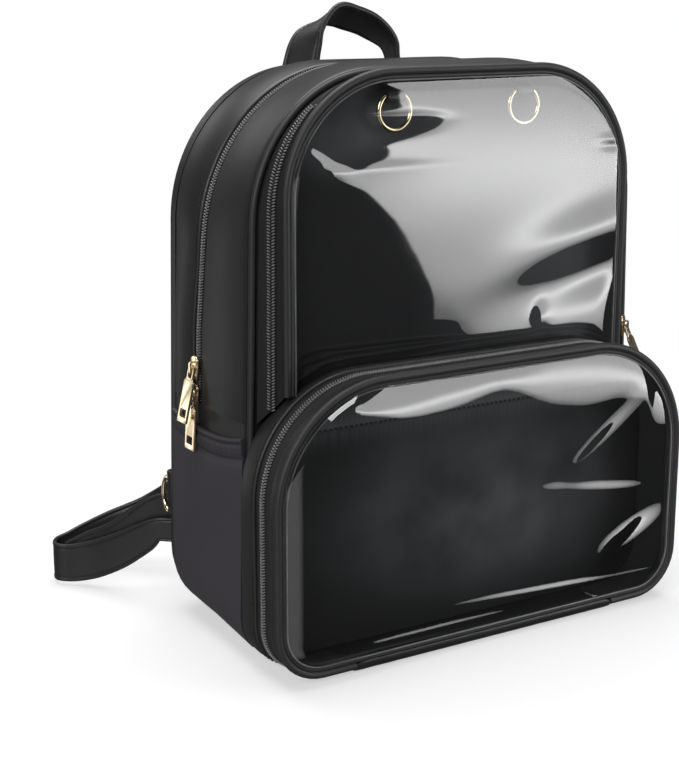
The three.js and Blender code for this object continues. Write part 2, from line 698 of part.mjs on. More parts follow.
function sliderGeometry() {
  const { height, width, crown, lift, bridge, bridgeWidth, opening, bar } = SLIDER;
  const top = height / 2;
  const drop = new THREE.Shape();
  drop.moveTo(-width * 0.28, -top);
  drop.lineTo(width * 0.28, -top);
  drop.quadraticCurveTo(width * 0.5, 0, width * 0.5, top * 0.55);
  drop.quadraticCurveTo(width * 0.45, top, 0, top);
  drop.quadraticCurveTo(-width * 0.45, top, -width * 0.5, top * 0.55);
  drop.quadraticCurveTo(-width * 0.5, 0, -width * 0.28, -top);
  const base = plate(drop, crown).applyMatrix4(SIDE_ON).translate(lift + crown / 2, 0, 0);
  const floor = lift + crown;
  const peak = floor + opening + bar;
  const foot = floor - crown / 2;
  const half = bridge / 2;
  const outerSide = [[peak, half - bar], [peak - bar, half], [foot, half]];
  const innerSide = [[foot, half - bar], [floor + opening, half - bar]];
  const upper = [...outerSide, ...innerSide];
  const lower = upper.map(([out, up]) => [out, -up]).reverse();
  const arch = shapeFrom([...upper, ...lower]);
  const bail = plate(arch, bridgeWidth).rotateX(Math.PI / 2);
  return join(base, bail);
}

function pullGeometry() {
  const { thickness, length, width, eyeWidth, eyeLength, eyeHole, neck, shoulder } = PULL;
  const rightSide = [
    [width / 2, -length],
    [width / 2, -eyeLength - shoulder],
    [eyeWidth / 2, -eyeLength],
    [eyeWidth / 2, neck],
  ];
  const leftSide = rightSide.map(([u, v]) => [-u, v]).reverse();
  const outline = shapeFrom([...leftSide, ...rightSide]);
  const foot = -length + PULL_HOLE.margin;
  const openings = [
    box(-eyeHole / 2, eyeHole / 2, -eyeLength + neck, -neck),
    box(-PULL_HOLE.width / 2, PULL_HOLE.width / 2, foot, foot + PULL_HOLE.height),
  ];
  openings.forEach((points) => outline.holes.push(shapeFrom(points)));
  return plate(outline, thickness).applyMatrix4(SIDE_ON);
}

// Slider and pull on a zip at a spot, with the zip's outward direction and the pull's lean
function addZipHardware(names, spot, outward, lean) {
  const up = new THREE.Vector3(0, 0, 1);
  const across = new THREE.Vector3().crossVectors(up, outward);
  const group = new THREE.Group();
  group.matrix.makeBasis(outward, across, up).setPosition(spot);
  group.matrix.decompose(group.position, group.quaternion, group.scale);
  bag.add(group);
  add(names.slider, sliderGeometry(), 'gold', group);
  const pull = add(names.pull, pullGeometry(), 'gold', group);
  pull.position.set(HINGE_OUT, 0, 0);
  pull.rotation.y = -THREE.MathUtils.degToRad(lean);
}

function addHardware() {
  const left = new THREE.Vector3(-1, 0, 0);
  const sliders = [
    { name: 'upper', z: MAIN_SLIDERS.upperZ, lean: PULL_LEAN.upper },
    { name: 'lower', z: MAIN_SLIDERS.lowerZ, lean: PULL_LEAN.lower },
  ];
  for (const { name, z, lean } of sliders) {
    const y = zipLean(MAIN_ZIP_Y, z);
    const sideX = (bodyAt(MAIN_ZIP_Y).width / 2) * (1 - BODY_TAPER * z);
    const names = { slider: `main_slider_${name}`, pull: `main_pull_${name}` };
    addZipHardware(names, new THREE.Vector3(-sideX, y, z), left, lean);
  }
  const [foot, shoulder] = windowZipRings();
  const section = foot.map((p, k) => {
    const t = (WINDOW_SLIDER_Z - p[2]) / (shoulder[k][2] - p[2]);
    return new THREE.Vector3(...p).lerp(new THREE.Vector3(...shoulder[k]), t);
  });
  const [tapeSeam, , coilA, coilB, , tapeEdge] = section;
  const spot = coilA.clone().add(coilB).multiplyScalar(0.5);
  const width = tapeEdge.clone().sub(tapeSeam).normalize();
  const outward = new THREE.Vector3(-width.y, width.x, 0);
  addZipHardware({ slider: 'window_slider', pull: 'window_pull' }, spot, outward, PULL_LEAN.window);
}

addShell();
add('side_pocket_left', sidePocket(-1), 'sideLeather');
add('side_pocket_right', sidePocket(1), 'sideLeather');
addWindow();
addPocket();
addCarrying();
addHardware();

export default bag;
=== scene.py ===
"""Backpack with a clear window and a clear pocket, dressed in leather, zips, clear sheet and metal."""

import math

import bmesh
import bpy
import numpy as np
from bpy.props import FloatProperty, FloatVectorProperty, PointerProperty
from bpy.types import Operator, Panel, PropertyGroup
from mathutils import Matrix, Vector, noise


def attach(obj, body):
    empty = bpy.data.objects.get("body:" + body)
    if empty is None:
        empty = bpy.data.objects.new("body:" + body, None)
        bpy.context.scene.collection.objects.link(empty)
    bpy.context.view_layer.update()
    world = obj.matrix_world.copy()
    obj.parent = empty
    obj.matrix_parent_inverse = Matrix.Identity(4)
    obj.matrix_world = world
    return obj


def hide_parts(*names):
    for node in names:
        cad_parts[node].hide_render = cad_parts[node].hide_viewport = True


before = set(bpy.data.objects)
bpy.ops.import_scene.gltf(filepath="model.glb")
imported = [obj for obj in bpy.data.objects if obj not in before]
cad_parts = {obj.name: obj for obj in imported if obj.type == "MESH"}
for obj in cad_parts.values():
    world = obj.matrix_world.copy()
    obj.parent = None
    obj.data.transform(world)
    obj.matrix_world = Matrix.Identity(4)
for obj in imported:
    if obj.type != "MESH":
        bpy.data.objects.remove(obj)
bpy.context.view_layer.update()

bl_info = {
    "name": "Clear-window backpack",
    "version": (1, 0, 0),
    "blender": (4, 5, 0),
    "location": "3D View > Sidebar > Backpack",
    "description": "Dresses the packed backpack in leather, zips, clear sheet and metal",
    "category": "Object",
}

MM = 0.001

# Planes from the back to the front, and the sizes that the pieces share
BACK_Y = 78 * MM
MAIN_ZIP_Y = 29.5 * MM
SEAM_Y = -30 * MM
WINDOW_Y = -44.4 * MM
POCKET_Y = -78 * MM
WALL = 2 * MM
GAP = 0.3 * MM
CLEAR_SHEET = 0.8 * MM
PIPING = 2.4 * MM
SEAM_PIPING = 2.2 * MM
SLOT_HALF = 5.2 * MM
TAPE_INSET = 2.4 * MM
TAPE_THICKNESS = 1 * MM
STRIP_HALF = 100 * MM
ZIP_END_Z = 150 * MM
RIM_Y = BACK_Y - 12 * MM
SEAM_EDGE_Y = SEAM_Y + SEAM_PIPING + GAP
POCKET_ZIP_REAR = POCKET_Y + 29 * MM
POCKET_ZIP_FRONT = POCKET_Y + 10 * MM
POCKET_BAND_FRONT = POCKET_Y + PIPING + GAP

# The two sides of the bag, with the sign of X
SIDES = (("left", -1), ("right", 1))

# Angles in degrees past which the edge between two faces stays sharp
SHARP, CLOTH_SHARP, METAL_SHARP, ALL_SMOOTH = 38.0, 60.0, 30.0, 180.0


# Sizes and colours that a user would change

def length(name, description, value):
    """A length property in metres, given in millimetres."""
    return FloatProperty(name=name, description=description, default=value * MM, min=0.0, unit="LENGTH")


def colour(name, description, value):
    """A colour property."""
    return FloatVectorProperty(
        name=name, description=description, default=value, size=3, min=0.0, max=1.0, subtype="COLOR"
    )


class BackpackSizes(PropertyGroup):
    """Sizes of the sewn and moulded detail."""

    coil_pitch: length("Coil pitch", "Distance along a zip from one tooth to the next on the other side", 0.9)
    coil_reach: length("Coil reach", "How far each tooth lies from the middle of its zip", 1.45)
    stitch_pitch: length("Stitch pitch", "Distance from one stitch to the next", 3.4)
    stitch_length: length("Stitch length", "Visible length of one stitch", 2.5)
    stitch_width: length("Stitch width", "Thickness of the sewing thread", 0.6)
    grain: length("Grain", "Size of the leather's grain", 0.9)
    slack: length("Leather slack", "How far the leather waves in and out", 0.7)
    edge_bead: length("Edge bead", "Radius of the clear sheets' turned edge", 0.55)


class BackpackColours(PropertyGroup):
    """Colours of the finishes."""

    leather: colour("Leather", "Main leather", (0.0125, 0.0125, 0.0132))
    side_leather: colour("Side leather", "Leather of the slip pockets", (0.0155, 0.015, 0.0182))
    piping: colour("Piping", "Piped edges", (0.010, 0.010, 0.0105))
    zip_tape: colour("Zip tape", "Woven tape of the zips", (0.013, 0.013, 0.0135))
    # Much lighter than the black nylon's own tone: the teeth's own colour with painted glints
    coil: colour("Zip coil", "Nylon teeth of the zips", (0.15, 0.15, 0.153))
    lining: colour("Lining", "Cloth behind the clear sheets", (0.007, 0.007, 0.0072))
    # Pale colour that the lining is tinted toward: the paler cloth above the pocket's seam, the cloth paler
    # toward +X, and a painted sheen and painted soft reflection
    lining_pale_and_painted_sheen: colour("Lining sheen", "Paler places of the lining", (0.085, 0.085, 0.085))
    thread: colour("Thread", "Sewing thread", (0.018, 0.018, 0.019))
    clear_sheet: colour("Clear sheet", "Tint of the clear sheets", (0.93, 0.94, 0.95))
    clear_edge: colour("Clear edge", "Turned edge of the clear sheets", (0.30, 0.31, 0.32))
    gold: colour("Gold", "Pale gold of the metal", (0.86, 0.70, 0.45))
    floor: colour("Floor", "Studio floor", (0.92, 0.92, 0.92))


def sizes():
    """The scene's size settings."""
    return bpy.context.scene.backpack_sizes


def colours():
    """The scene's colour settings."""
    return bpy.context.scene.backpack_colours


# Small helpers

def mix(a, b, t):
    """Value between a and b."""
    return a + (b - a) * t


def clamp(t):
    """Value held between 0 and 1."""
    return min(1.0, max(0.0, t))


def bump(t, width):
    """Bell curve of the given width about zero."""
    return math.exp(-((t / width) ** 2))


# Arched outlines of the panels

def run(a, b, steps):
    """Points from a toward b, without b."""
    return [(mix(a[0], b[0], i / steps), mix(a[1], b[1], i / steps)) for i in range(steps)]


def quarter(x, z, radius, start, steps):
    """Points of a quarter circle, without its end."""
    angles = [math.radians(start + 90 * i / steps) for i in range(steps)]
    return [(x + radius * math.cos(a), z + radius * math.sin(a)) for a in angles]


class Arch:
    """Outline of a panel in X and Z: straight foot, round corners, straight sides and a round top."""

    # Points on each stretch, from the bottom middle up one side to the top middle
    STRIP, FOOT, CORNER, LOW_SIDE, HIGH_SIDE, TOP_CORNER, TOP = 6, 4, 10, 16, 20, 26, 10
    AT_STRIP = STRIP
    AT_CORNER = STRIP + FOOT + CORNER // 2
    AT_SIDE = STRIP + FOOT + CORNER + LOW_SIDE

    def __init__(self, width, top, top_radius, bottom_radius, side_z, bottom=0.0, taper=0.0):
        self.width, self.top, self.bottom = width, top, bottom
        self.top_radius, self.bottom_radius = top_radius, bottom_radius
        self.side_z, self.taper = side_z, taper

    def line(self, inset=0.0, side_z=None):
        """Points from the bottom middle up the +X side, over the top and back."""
        half = self.width / 2 - inset
        low, high = self.bottom + inset, self.top - inset
        r0, r1 = self.bottom_radius - inset, self.top_radius - inset
        side = self.side_z if side_z is None else side_z
        right = run((0, low), (STRIP_HALF, low), self.STRIP)
        right += run((STRIP_HALF, low), (half - r0, low), self.FOOT)
        right += quarter(half - r0, low + r0, r0, -90, self.CORNER)
        right += run((half, low + r0), (half, side), self.LOW_SIDE)
        right += run((half, side), (half, high - r1), self.HIGH_SIDE)
        right += quarter(half - r1, high - r1, r1, 0, self.TOP_CORNER)
        right += run((half - r1, high), (0, high), self.TOP) + [(0, high)]
        left = [(-x, z) for x, z in reversed(right[1:-1])]
        return [(x * (1 - self.taper * z), z) for x, z in right + left]

    def round_at(self, x, radius, inset):
        """How far a corner's circle reaches from its middle over x."""
        reach = max(abs(x) - (self.width / 2 - inset - radius), 0.0)
        return math.sqrt(max(radius ** 2 - reach ** 2, 0.0))

    def top_at(self, x, inset=0.0):
        """Height of the upper edge over x."""
        radius = self.top_radius - inset
        return self.top - inset - radius + self.round_at(x, radius, inset)

    def foot_at(self, x, inset=0.0):
        """Height of the lower edge over x."""
        radius = self.bottom_radius - inset
        return self.bottom + inset + radius - self.round_at(x, radius, inset)


BODY_SECTIONS = [
    {"y": BACK_Y, "width": 300.3 * MM, "top": 353.6 * MM, "top_radius": 92 * MM, "bottom_radius": 45 * MM},
    {"y": MAIN_ZIP_Y, "width": 298 * MM, "top": 355.6 * MM, "top_radius": 106 * MM, "bottom_radius": 38 * MM},
    {"y": SEAM_Y, "width": 298.4 * MM, "top": 355.6 * MM, "top_radius": 87 * MM, "bottom_radius": 28 * MM},
]
BODY_TAPER = 0.168
WINDOW = Arch(252.5 * MM, 354.4 * MM, 73 * MM, 20 * MM, 168 * MM)
POCKET_RISE = 4.6 * MM


def body_at(y):
    """Outline of the main body at one depth."""
    back, zipped, seam = BODY_SECTIONS
    a, b = (back, zipped) if y > zipped["y"] else (zipped, seam)
    t = clamp((y - a["y"]) / (b["y"] - a["y"]))
    fields = {key: mix(a[key], b[key], t) for key in ("width", "top", "top_radius", "bottom_radius")}
    return Arch(side_z=ZIP_END_Z, taper=BODY_TAPER, **fields)


def window_at(_y):
    """Outline of the window, the same at every depth."""
    return WINDOW


def pocket_at(y):
    """Outline of the box pocket: its lower edge lifts off the floor toward the front."""
    t = clamp((POCKET_ZIP_REAR - y) / (POCKET_ZIP_REAR - POCKET_Y))
    return Arch(304.8 * MM, 180.2 * MM, 72.5 * MM, 30 * MM, 70 * MM, bottom=POCKET_RISE * t)


def whole(points):
    """The whole outline."""
    return points


def over(points):
    """The outline from one side's height over the top to the other."""
    return points[Arch.AT_SIDE:len(points) - Arch.AT_SIDE + 1]


def under(points):
    """The outline from one side's height under the bottom to the other."""
    return points[-Arch.AT_SIDE:] + points[:Arch.AT_SIDE + 1]


def foot_to_foot(points):
    """The outline without the stretch that the base strip covers."""
    return points[Arch.AT_STRIP:len(points) - Arch.AT_STRIP + 1]


# How far the main zip swings back toward its lower ends, from which height and over what fall
ZIP_SWING, ZIP_SWING_TOP, ZIP_SWING_FALL = 6.5 * MM, 255 * MM, 60 * MM
# Depth to which the pocket gusset's rear edge steps near the top, and the step's foot and height
STEP_Y, STEP_FOOT, STEP_HEIGHT = WINDOW_Y + 2 * MM, 148 * MM, 20 * MM


def part_lean(weight):
    """A share of the main zip's swing."""
    return lambda y, z: y + weight * ZIP_SWING * clamp((ZIP_SWING_TOP - z) / ZIP_SWING_FALL)


def pocket_rear(weight):
    """A share of the step in the pocket gusset's rear edge."""
    return lambda y, z: mix(y, STEP_Y, weight * clamp((z - STEP_FOOT) / STEP_HEIGHT))


# Meshes

def outward(line, i, closed):
    """Direction away from the panel's middle at one point of an outline."""
    last = len(line) - 1
    a = line[i - 1] if closed or i else line[0]
    b = line[(i + 1) % len(line)] if closed or i < last else line[last]
    return Vector((b.z - a.z, 0.0, a.x - b.x)).normalized()


def sweep(section, shape_at, stretch, side_z=None, swell=None):
    """Rings that carry a cross-section of (inset, y, bend) along a stretch of the outline."""
    closed = stretch is whole
    lines = []
    for inset, y, bend in section:
        flat = stretch(shape_at(y).line(inset, side_z))
        line = [Vector((x, bend(y, z) if bend else y, max(z, 0.0))) for x, z in flat]
        if swell:
            line = [p + outward(line, i, closed) * swell(p) for i, p in enumerate(line)]
        lines.append(line)
    return [list(ring) for ring in zip(*lines)]


# Slack of the leather: its stretch in depth, and the height over the floor where it is full
SLACK_IN_DEPTH, SLACK_RISE = 1.6, 25 * MM
CORD_SIDES = 14


def soft(amount, size, seed):
    """Slack of sewn leather, as an offset that grows from nothing at the floor."""
    def swell(p):
        spot = Vector((p.x, p.y * SLACK_IN_DEPTH, p.z)) / size + Vector((seed, 2 * seed, 0))
        return amount * noise.noise(spot) * clamp(p.z / SLACK_RISE)
    return swell


def turns(count):
    """Angles of evenly spaced points round a circle."""
    return [2 * math.pi * i / count for i in range(count)]


def distances(points, closed):
    """Running length along a line of points."""
    ends = points[1:] + points[:1] if closed else points[1:]
    total = [0.0]
    for a, b in zip(points, ends):
        total.append(total[-1] + (Vector(b) - Vector(a)).length)
    return total


def close_up(mesh, reach):
    """Joins points that lie together and turns the faces outwards."""
    work = bmesh.new()
    work.from_mesh(mesh)
    bmesh.ops.remove_doubles(work, verts=work.verts, dist=reach)
    bmesh.ops.recalc_face_normals(work, faces=work.faces)
    work.to_mesh(mesh)
    work.free()


def to_piece(name, mesh, finish, sharp):
    """Object that shows a mesh in a finish, smooth except at sharp edges."""
    mesh.shade_smooth()
    mesh.set_sharp_from_angle(angle=math.radians(sharp))
    mesh.materials.clear()
    mesh.materials.append(finish)
    piece = bpy.data.objects.new(name, mesh)
    bpy.context.scene.collection.objects.link(piece)
    return piece


def skin(name, rings, finish, loop=False, sharp=SHARP, folded=False):
    """Closed skin through rings of points, joined end to end or capped; folded rings run out and back."""
    count = len(rings[0])
    along = distances([ring[0] for ring in rings], loop)
    around = distances(rings[0], True)
    faces, uvs = [], []
    for i in range(len(rings) if loop else len(rings) - 1):
        a, b = i * count, (i + 1) % len(rings) * count
        for j in range(count):
            k = (j + 1) % count
            faces.append((a + j, b + j, b + k, a + k))
            uvs += [(along[i], around[j]), (along[i + 1], around[j])]
            uvs += [(along[i + 1], around[j + 1]), (along[i], around[j + 1])]
    caps = [tuple(range(count))]
    if folded:
        caps = [(j, j + 1, count - 2 - j, count - 1 - j) for j in range(count // 2 - 1)]
    ends = [] if loop else [(0, 0.0), ((len(rings) - 1) * count, along[-1])]
    for first, u in ends:
        faces += [tuple(first + j for j in cap) for cap in caps]
        uvs += [(u, around[j]) for cap in caps for j in cap]
    mesh = bpy.data.meshes.new(name)
    mesh.from_pydata([tuple(p) for ring in rings for p in ring], [], faces)
    layer = mesh.uv_layers.new(name="UVMap")
    layer.data.foreach_set("uv", [value for uv in uvs for value in uv])
    close_up(mesh, 1e-7)
    return to_piece(name, mesh, finish, sharp)


# Slots whose pieces have a light of their own, or that one light leaves out
LIT_APART = {"gold_metal": "INCLUDE", "clear_pvc": "EXCLUDE"}


def lit_group(slot):
    """Group of the pieces of one slot, for the lights that tell them apart."""
    return bpy.data.collections.get(slot) or bpy.data.collections.new(slot)


def settle(piece, *nodes, body="bag", slot=None):
    """Sets a piece on its body, in place of the named solids."""
    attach(piece, body)
    if nodes:
        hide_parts(*nodes)
    if slot in LIT_APART:
        group = lit_group(slot)
        group.objects.link(piece)
        for item in group.collection_objects:
            item.light_linking.link_state = LIT_APART[slot]
    return piece


def sew(node, kind, rings, finish="leather", slot="faux_leather", **form):
    """Sewn piece through rings, in place of its solid."""
    return settle(skin(node + "_" + kind, rings, finish_of(finish), **form), node, slot=slot)


def strip_section(y_from, y_to, rise, roll, bends, steps=18):
    """Cross-section of a sewn leather strip: crowned outside, rolled edges and a flat inside."""
    rows = []
    for i in range(steps + 1):
        t = 0.5 - 0.5 * math.cos(math.pi * i / steps)
        y = mix(y_from, y_to, t)
        near = clamp(1 - min(abs(y - y_from), abs(y - y_to)) / roll)
        edge = roll * (1 - math.sqrt(1 - near ** 2))
        rows.append((edge - rise * math.sin(math.pi * t), y, bends(t)))
    return rows + [(WALL, y_to, bends(1)), (WALL, y_from, bends(0))]


def cord(name, inset, y, radius, shape_at, stretch, finish):
    """Round cord along a stretch of an outline."""
    section = [(inset + radius * math.cos(a), y + radius * math.sin(a), None) for a in turns(CORD_SIDES)]
    return skin(name, sweep(section, shape_at, stretch), finish, loop=stretch is whole)


# Node trees and materials

class Value:
    """A socket in a node tree, so that its maths reads as plain expressions."""

    def __init__(self, nodes, socket):
        self.nodes, self.socket = nodes, socket

    def __add__(self, other):
        return self.nodes.maths("ADD", self, other)

    __radd__ = __add__

    def __sub__(self, other):
        return self.nodes.maths("SUBTRACT", self, other)

    def __rsub__(self, other):
        return self.nodes.maths("SUBTRACT", other, self)

    def __mul__(self, other):
        return self.nodes.maths("MULTIPLY", self, other)

    __rmul__ = __mul__

    def __truediv__(self, other):
        return self.nodes.maths("DIVIDE", self, other)

    def __rtruediv__(self, other):
        return self.nodes.maths("DIVIDE", other, self)


class Nodes:
    """A node tree that is filled in step by step."""

    def __init__(self, tree):
        self.tree = tree

    def node(self, kind, settings=None, sockets=None, output=0):
        """Adds a node: settings first, then the values or links of its sockets."""
        node = self.tree.nodes.new(kind)
        for key, value in (settings or {}).items():
            setattr(node, key, value)
        for key, value in (sockets or {}).items():
            if isinstance(value, Value):
                self.tree.links.new(value.socket, node.inputs[key])
            else:
                node.inputs[key].default_value = value
        return Value(self, node.outputs[output]) if node.outputs else None

    def outputs_of(self, first):
        """All outputs of the node that a value comes from."""
        return [Value(self, socket) for socket in first.socket.node.outputs]

    def maths(self, operation, a, b=0.0, held=False):
        """One Math node, held between 0 and 1 if asked."""
        return self.node("ShaderNodeMath", {"operation": operation, "use_clamp": held}, {0: a, 1: b})


class Finish(Nodes):
    """The nodes of a material, a light or the backdrop."""

    def __init__(self, owner):
        owner.use_nodes = True
        owner.node_tree.nodes.clear()
        super().__init__(owner.node_tree)
        self.owner = owner

    def place(self):
        """Object coordinates."""
        return self.node("ShaderNodeTexCoord", output="Object")

    def axes(self, vector):
        """The three parts of a vector."""
        return self.outputs_of(self.node("ShaderNodeSeparateXYZ", None, {0: vector}))

    def distance(self, vector):
        """Length of a vector."""
        return self.node("ShaderNodeVectorMath", {"operation": "LENGTH"}, {0: vector}, output="Value")

    def bell(self, value):
        """Bell curve about zero."""
        return self.maths("EXPONENT", 0 - value * value)

    def step(self, value, start, end, low=0.0, high=1.0, kind="SMOOTHSTEP"):
        """Change from low to high between two values."""
        sockets = {"Value": value, "From Min": start, "From Max": end, "To Min": low, "To Max": high}
        return self.node("ShaderNodeMapRange", {"interpolation_type": kind}, sockets)

    def spread(self, scale, detail=2.0, roughness=0.5):
        """Noise between 0 and 1."""
        sockets = {"Vector": self.place(), "Scale": scale, "Detail": detail, "Roughness": roughness}
        return self.node("ShaderNodeTexNoise", None, sockets)

    def cells(self, scale):
        """Distance to the nearest cell's middle."""
        sockets = {"Vector": self.place(), "Scale": scale, "Randomness": 1.0}
        return self.node("ShaderNodeTexVoronoi", {"feature": "SMOOTH_F1"}, sockets)

    def tint(self, factor, dark, light):
        """Colour between two shades."""
        sockets = {0: factor, 6: (*dark, 1.0), 7: (*light, 1.0)}
        return self.node("ShaderNodeMix", {"data_type": "RGBA"}, sockets, output=2)

    def relief(self, height, strength, distance):
        """Surface normal raised by a height."""
        sockets = {"Height": height, "Strength": strength, "Distance": distance}
        return self.node("ShaderNodeBump", None, sockets)

    def principled(self, **sockets):
        """Principled shader with sockets named by their words."""
        named = {key.replace("_", " "): value for key, value in sockets.items()}
        return self.node("ShaderNodeBsdfPrincipled", None, named)

    def blend(self, factor, first, second):
        """Mix of two shaders."""
        return self.node("ShaderNodeMixShader", None, {0: factor, 1: first, 2: second})

    def surface(self, shader, kind="ShaderNodeOutputMaterial"):
        """Links a shader to the output and gives back the owner."""
        self.node(kind, None, {"Surface": shader})
        return self.owner


WHITE = (1.0, 1.0, 1.0, 1.0)
# Grooves sewn into the slip pockets, darkened with painted shade: distances from the hem's top along the
# leather, and half width
HEM_GROOVES = (5.1 * MM, 15.2 * MM)
GROOVE_HALF = 1.1 * MM


def shaded(base, factor):
    """A colour made darker or lighter."""
    return tuple(min(1.0, channel * factor) for channel in base)


def leather_finish(finish, base, roughness, grain_strength, grooves=()):
    """Faux leather: fine pebble grain, soft waves, uneven sheen, and rough grooves across its length darkened
    with painted shade.
    """
    pebbles = finish.cells(1 / sizes().grain)
    pores = finish.spread(2.4 / sizes().grain, 3.0, 0.6)
    waves = finish.spread(38.0, 3.0)
    wear = finish.spread(11.0, 4.0, 0.6)
    height = pebbles * 0.55 + pores * 0.35 + waves * 1.6
    tone, dull = wear, wear * 0.14 + pores * 0.08 + (roughness - 0.11)
    for groove in grooves:
        along = finish.axes(finish.node("ShaderNodeUVMap"))[0]
        depth = finish.bell((along - groove) / GROOVE_HALF)
        # Painted shade darkens each groove, which is also rougher
        tone, dull = tone - depth * 1.6, dull + depth * 0.4
    return finish.principled(
        Base_Color=finish.tint(tone, shaded(base, 0.78), shaded(base, 1.22)),
        Roughness=dull,
        Specular_IOR_Level=0.55,
        Normal=finish.relief(height, grain_strength, 0.35 * MM),
    )


def woven_finish(finish, base, pitch):
    """Woven tape: ribs across and along its length."""
    along, across, _ = finish.axes(finish.node("ShaderNodeUVMap"))
    turn = 2 * math.pi / pitch
    rib = finish.maths("SINE", along * turn + across * (turn * 0.5))
    weft = finish.maths("SINE", across * (turn * 0.8))
    fuzz = finish.spread(900.0)
    return finish.principled(
        Base_Color=finish.tint(rib * 0.25 + weft * 0.25 + 0.5, shaded(base, 0.55), shaded(base, 1.9)),
        Roughness=0.78 + fuzz * 0.12,
        Specular_IOR_Level=0.35,
        Normal=finish.relief(rib * 0.35 + weft * 0.35 + fuzz * 0.6, 0.6, 0.25 * MM),
    )


def lining_finish(finish, base, middle, reach, top, paler_right):
    """Dark cloth: a painted soft reflection about one place, paler toward +X, paler above a gathered seam,
    and a painted sheen on the gathers about the seam.
    """
    pleat_width, seam_near, seam_half, flap_edge = 0.58 * MM, 9 * MM, 0.9 * MM, 0.5 * MM
    paler_from, paler_to = -30 * MM, 90 * MM
    fuzz = finish.spread(1500.0)
    sag = finish.spread(14.0, 3.0)
    across, _, height = finish.axes(finish.place())
    away = finish.place()
    for operation, by in (("SUBTRACT", middle), ("DIVIDE", reach)):
        away = finish.node("ShaderNodeVectorMath", {"operation": operation}, {0: away, 1: by})
    # Painted soft reflection: a paler cloud about one place
    cloud = finish.step(finish.distance(away), 0.1, 1.2, 1.0, 0.0)
    flap = finish.step(height, top, top + flap_edge, kind="LINEAR")
    # Paler toward +X
    rightward = finish.step(across, paler_from, paler_to, kind="LINEAR")
    # Painted sheen of the gathers: paler stripes across X about the seam; the same stripes break the seam's
    # dark line into dashes
    pleat = finish.maths("SINE", across / pleat_width + sag * 9.0)
    near, seam = (finish.bell((height - top) / width) for width in (seam_near, seam_half))
    dash = finish.maths("ADD", pleat * 3.0, 1.4, held=True)
    bare = finish.maths("SUBTRACT", 1.0, seam * dash * 1.2, held=True)
    # Tint toward the pale colour: painted soft reflection, paler toward +X, paler cloth above the seam, and
    # painted sheen about the seam
    cloth = cloud * (sag * 2.6 - 0.55) + rightward * paler_right + flap * 0.42 + near * (pleat * 0.07 + 0.36)
    return finish.principled(
        Base_Color=finish.tint(cloth * bare, base, colours().lining_pale_and_painted_sheen),
        Roughness=0.62 + fuzz * 0.2,
        Specular_IOR_Level=0.3,
        Normal=finish.relief(fuzz * 0.4 + sag * 2.0, 0.5, 0.5 * MM),
    )


def cloudy_finish(finish, base, grain, shades, sheen, gloss=0.5):
    """Finish whose shade and roughness follow one noise."""
    cloud = finish.spread(*grain)
    dark, light = (shaded(base, factor) for factor in shades)
    least, uneven = sheen
    return finish.principled(
        Base_Color=finish.tint(cloud, dark, light),
        Roughness=least + cloud * uneven,
        Specular_IOR_Level=gloss,
    )


def gold_finish(finish, base):
    """Pale plated metal with faint handling marks."""
    marks = finish.spread(240.0, 5.0, 0.7)
    return finish.principled(
        Base_Color=finish.tint(marks, shaded(base, 0.88), shaded(base, 1.06)),
        Metallic=1.0,
        Roughness=0.13 + marks * 0.10,
        Normal=finish.relief(finish.spread(1600.0), 0.06, 0.1 * MM),
    )


def clear_finish(finish, base):
    """Clear flexible sheet: see-through, with a mirror gloss that grows at glancing angles."""
    haze = finish.spread(7.0, 3.0, 0.6)
    clear = finish.node("ShaderNodeBsdfTransparent", None, {"Color": (*base, 1.0)})
    gloss = finish.node("ShaderNodeBsdfGlossy", None, {"Color": WHITE, "Roughness": 0.01 + haze * 0.03})
    edge = finish.node("ShaderNodeFresnel", None, {"IOR": 1.52})
    rear = finish.node("ShaderNodeNewGeometry", output="Backfacing")
    return finish.blend(edge * 1.9 * (1 - rear), clear, gloss)


def floor_finish(finish, base):
    """Pale paper floor that brightens to white away from the bag."""
    fade = finish.step(finish.distance(finish.place()), 0.15, 0.62, 0.5)
    paper = finish.principled(
        Base_Color=finish.tint(finish.spread(400.0, 3.0), shaded(base, 0.985), shaded(base, 1.01)),
        Roughness=0.9,
        Specular_IOR_Level=0.1,
    )
    white = finish.node("ShaderNodeEmission", None, {"Color": WHITE, "Strength": 1.0})
    return finish.blend(fade, paper, white)


# Finishes: the function that fills one in, its colour and its details
FINISHES = {
    "leather": (leather_finish, "leather", 0.44, 0.30),
    "side_leather": (leather_finish, "side_leather", 0.47, 0.34, HEM_GROOVES),
    "piping": (leather_finish, "piping", 0.34, 0.16),
    "zip_tape": (woven_finish, "zip_tape", 0.9 * MM),
    "coil": (cloudy_finish, "coil", (700.0,), (0.7, 1.5), (0.26, 0.14), 0.8),
    # Linings: middle and reach of the painted soft reflection, height of the seam, and how much paler toward
    # +X
    "lining": (lining_finish, "lining", (-0.07, SEAM_Y, 0.325), (0.07, 1.0, 0.035), 1.0, 0.75),
    "pocket_lining": (lining_finish, "lining", (0.02, WINDOW_Y, 0.08), (0.13, 1.0, 0.07), 143.5 * MM, 0.0),
    "thread": (cloudy_finish, "thread", (2200.0,), (0.6, 1.6), (0.5, 0.2)),
    "gold": (gold_finish, "gold"),
    "clear_sheet": (clear_finish, "clear_sheet"),
    "clear_edge": (cloudy_finish, "clear_edge", (60.0, 3.0), (0.35, 1.0), (0.3, 0.15)),
    "floor": (floor_finish, "floor"),
}


def finish_of(name):
    """The named finish, made when it is first asked for."""
    known = bpy.data.materials.get(name)
    if known:
        return known
    fill_in, colour_name, *details = FINISHES[name]
    finish = Finish(bpy.data.materials.new(name))
    return finish.surface(fill_in(finish, getattr(colours(), colour_name), *details))


# Beads repeated along guide lines with Geometry Nodes

BEAD_TREE = "beads_along_a_line"
BEAD_INPUTS = ("Pitch", "Length", "Width", "Height", "Aside", "Slant")
BEAD_SEGMENTS, BEAD_RINGS = 8, 5


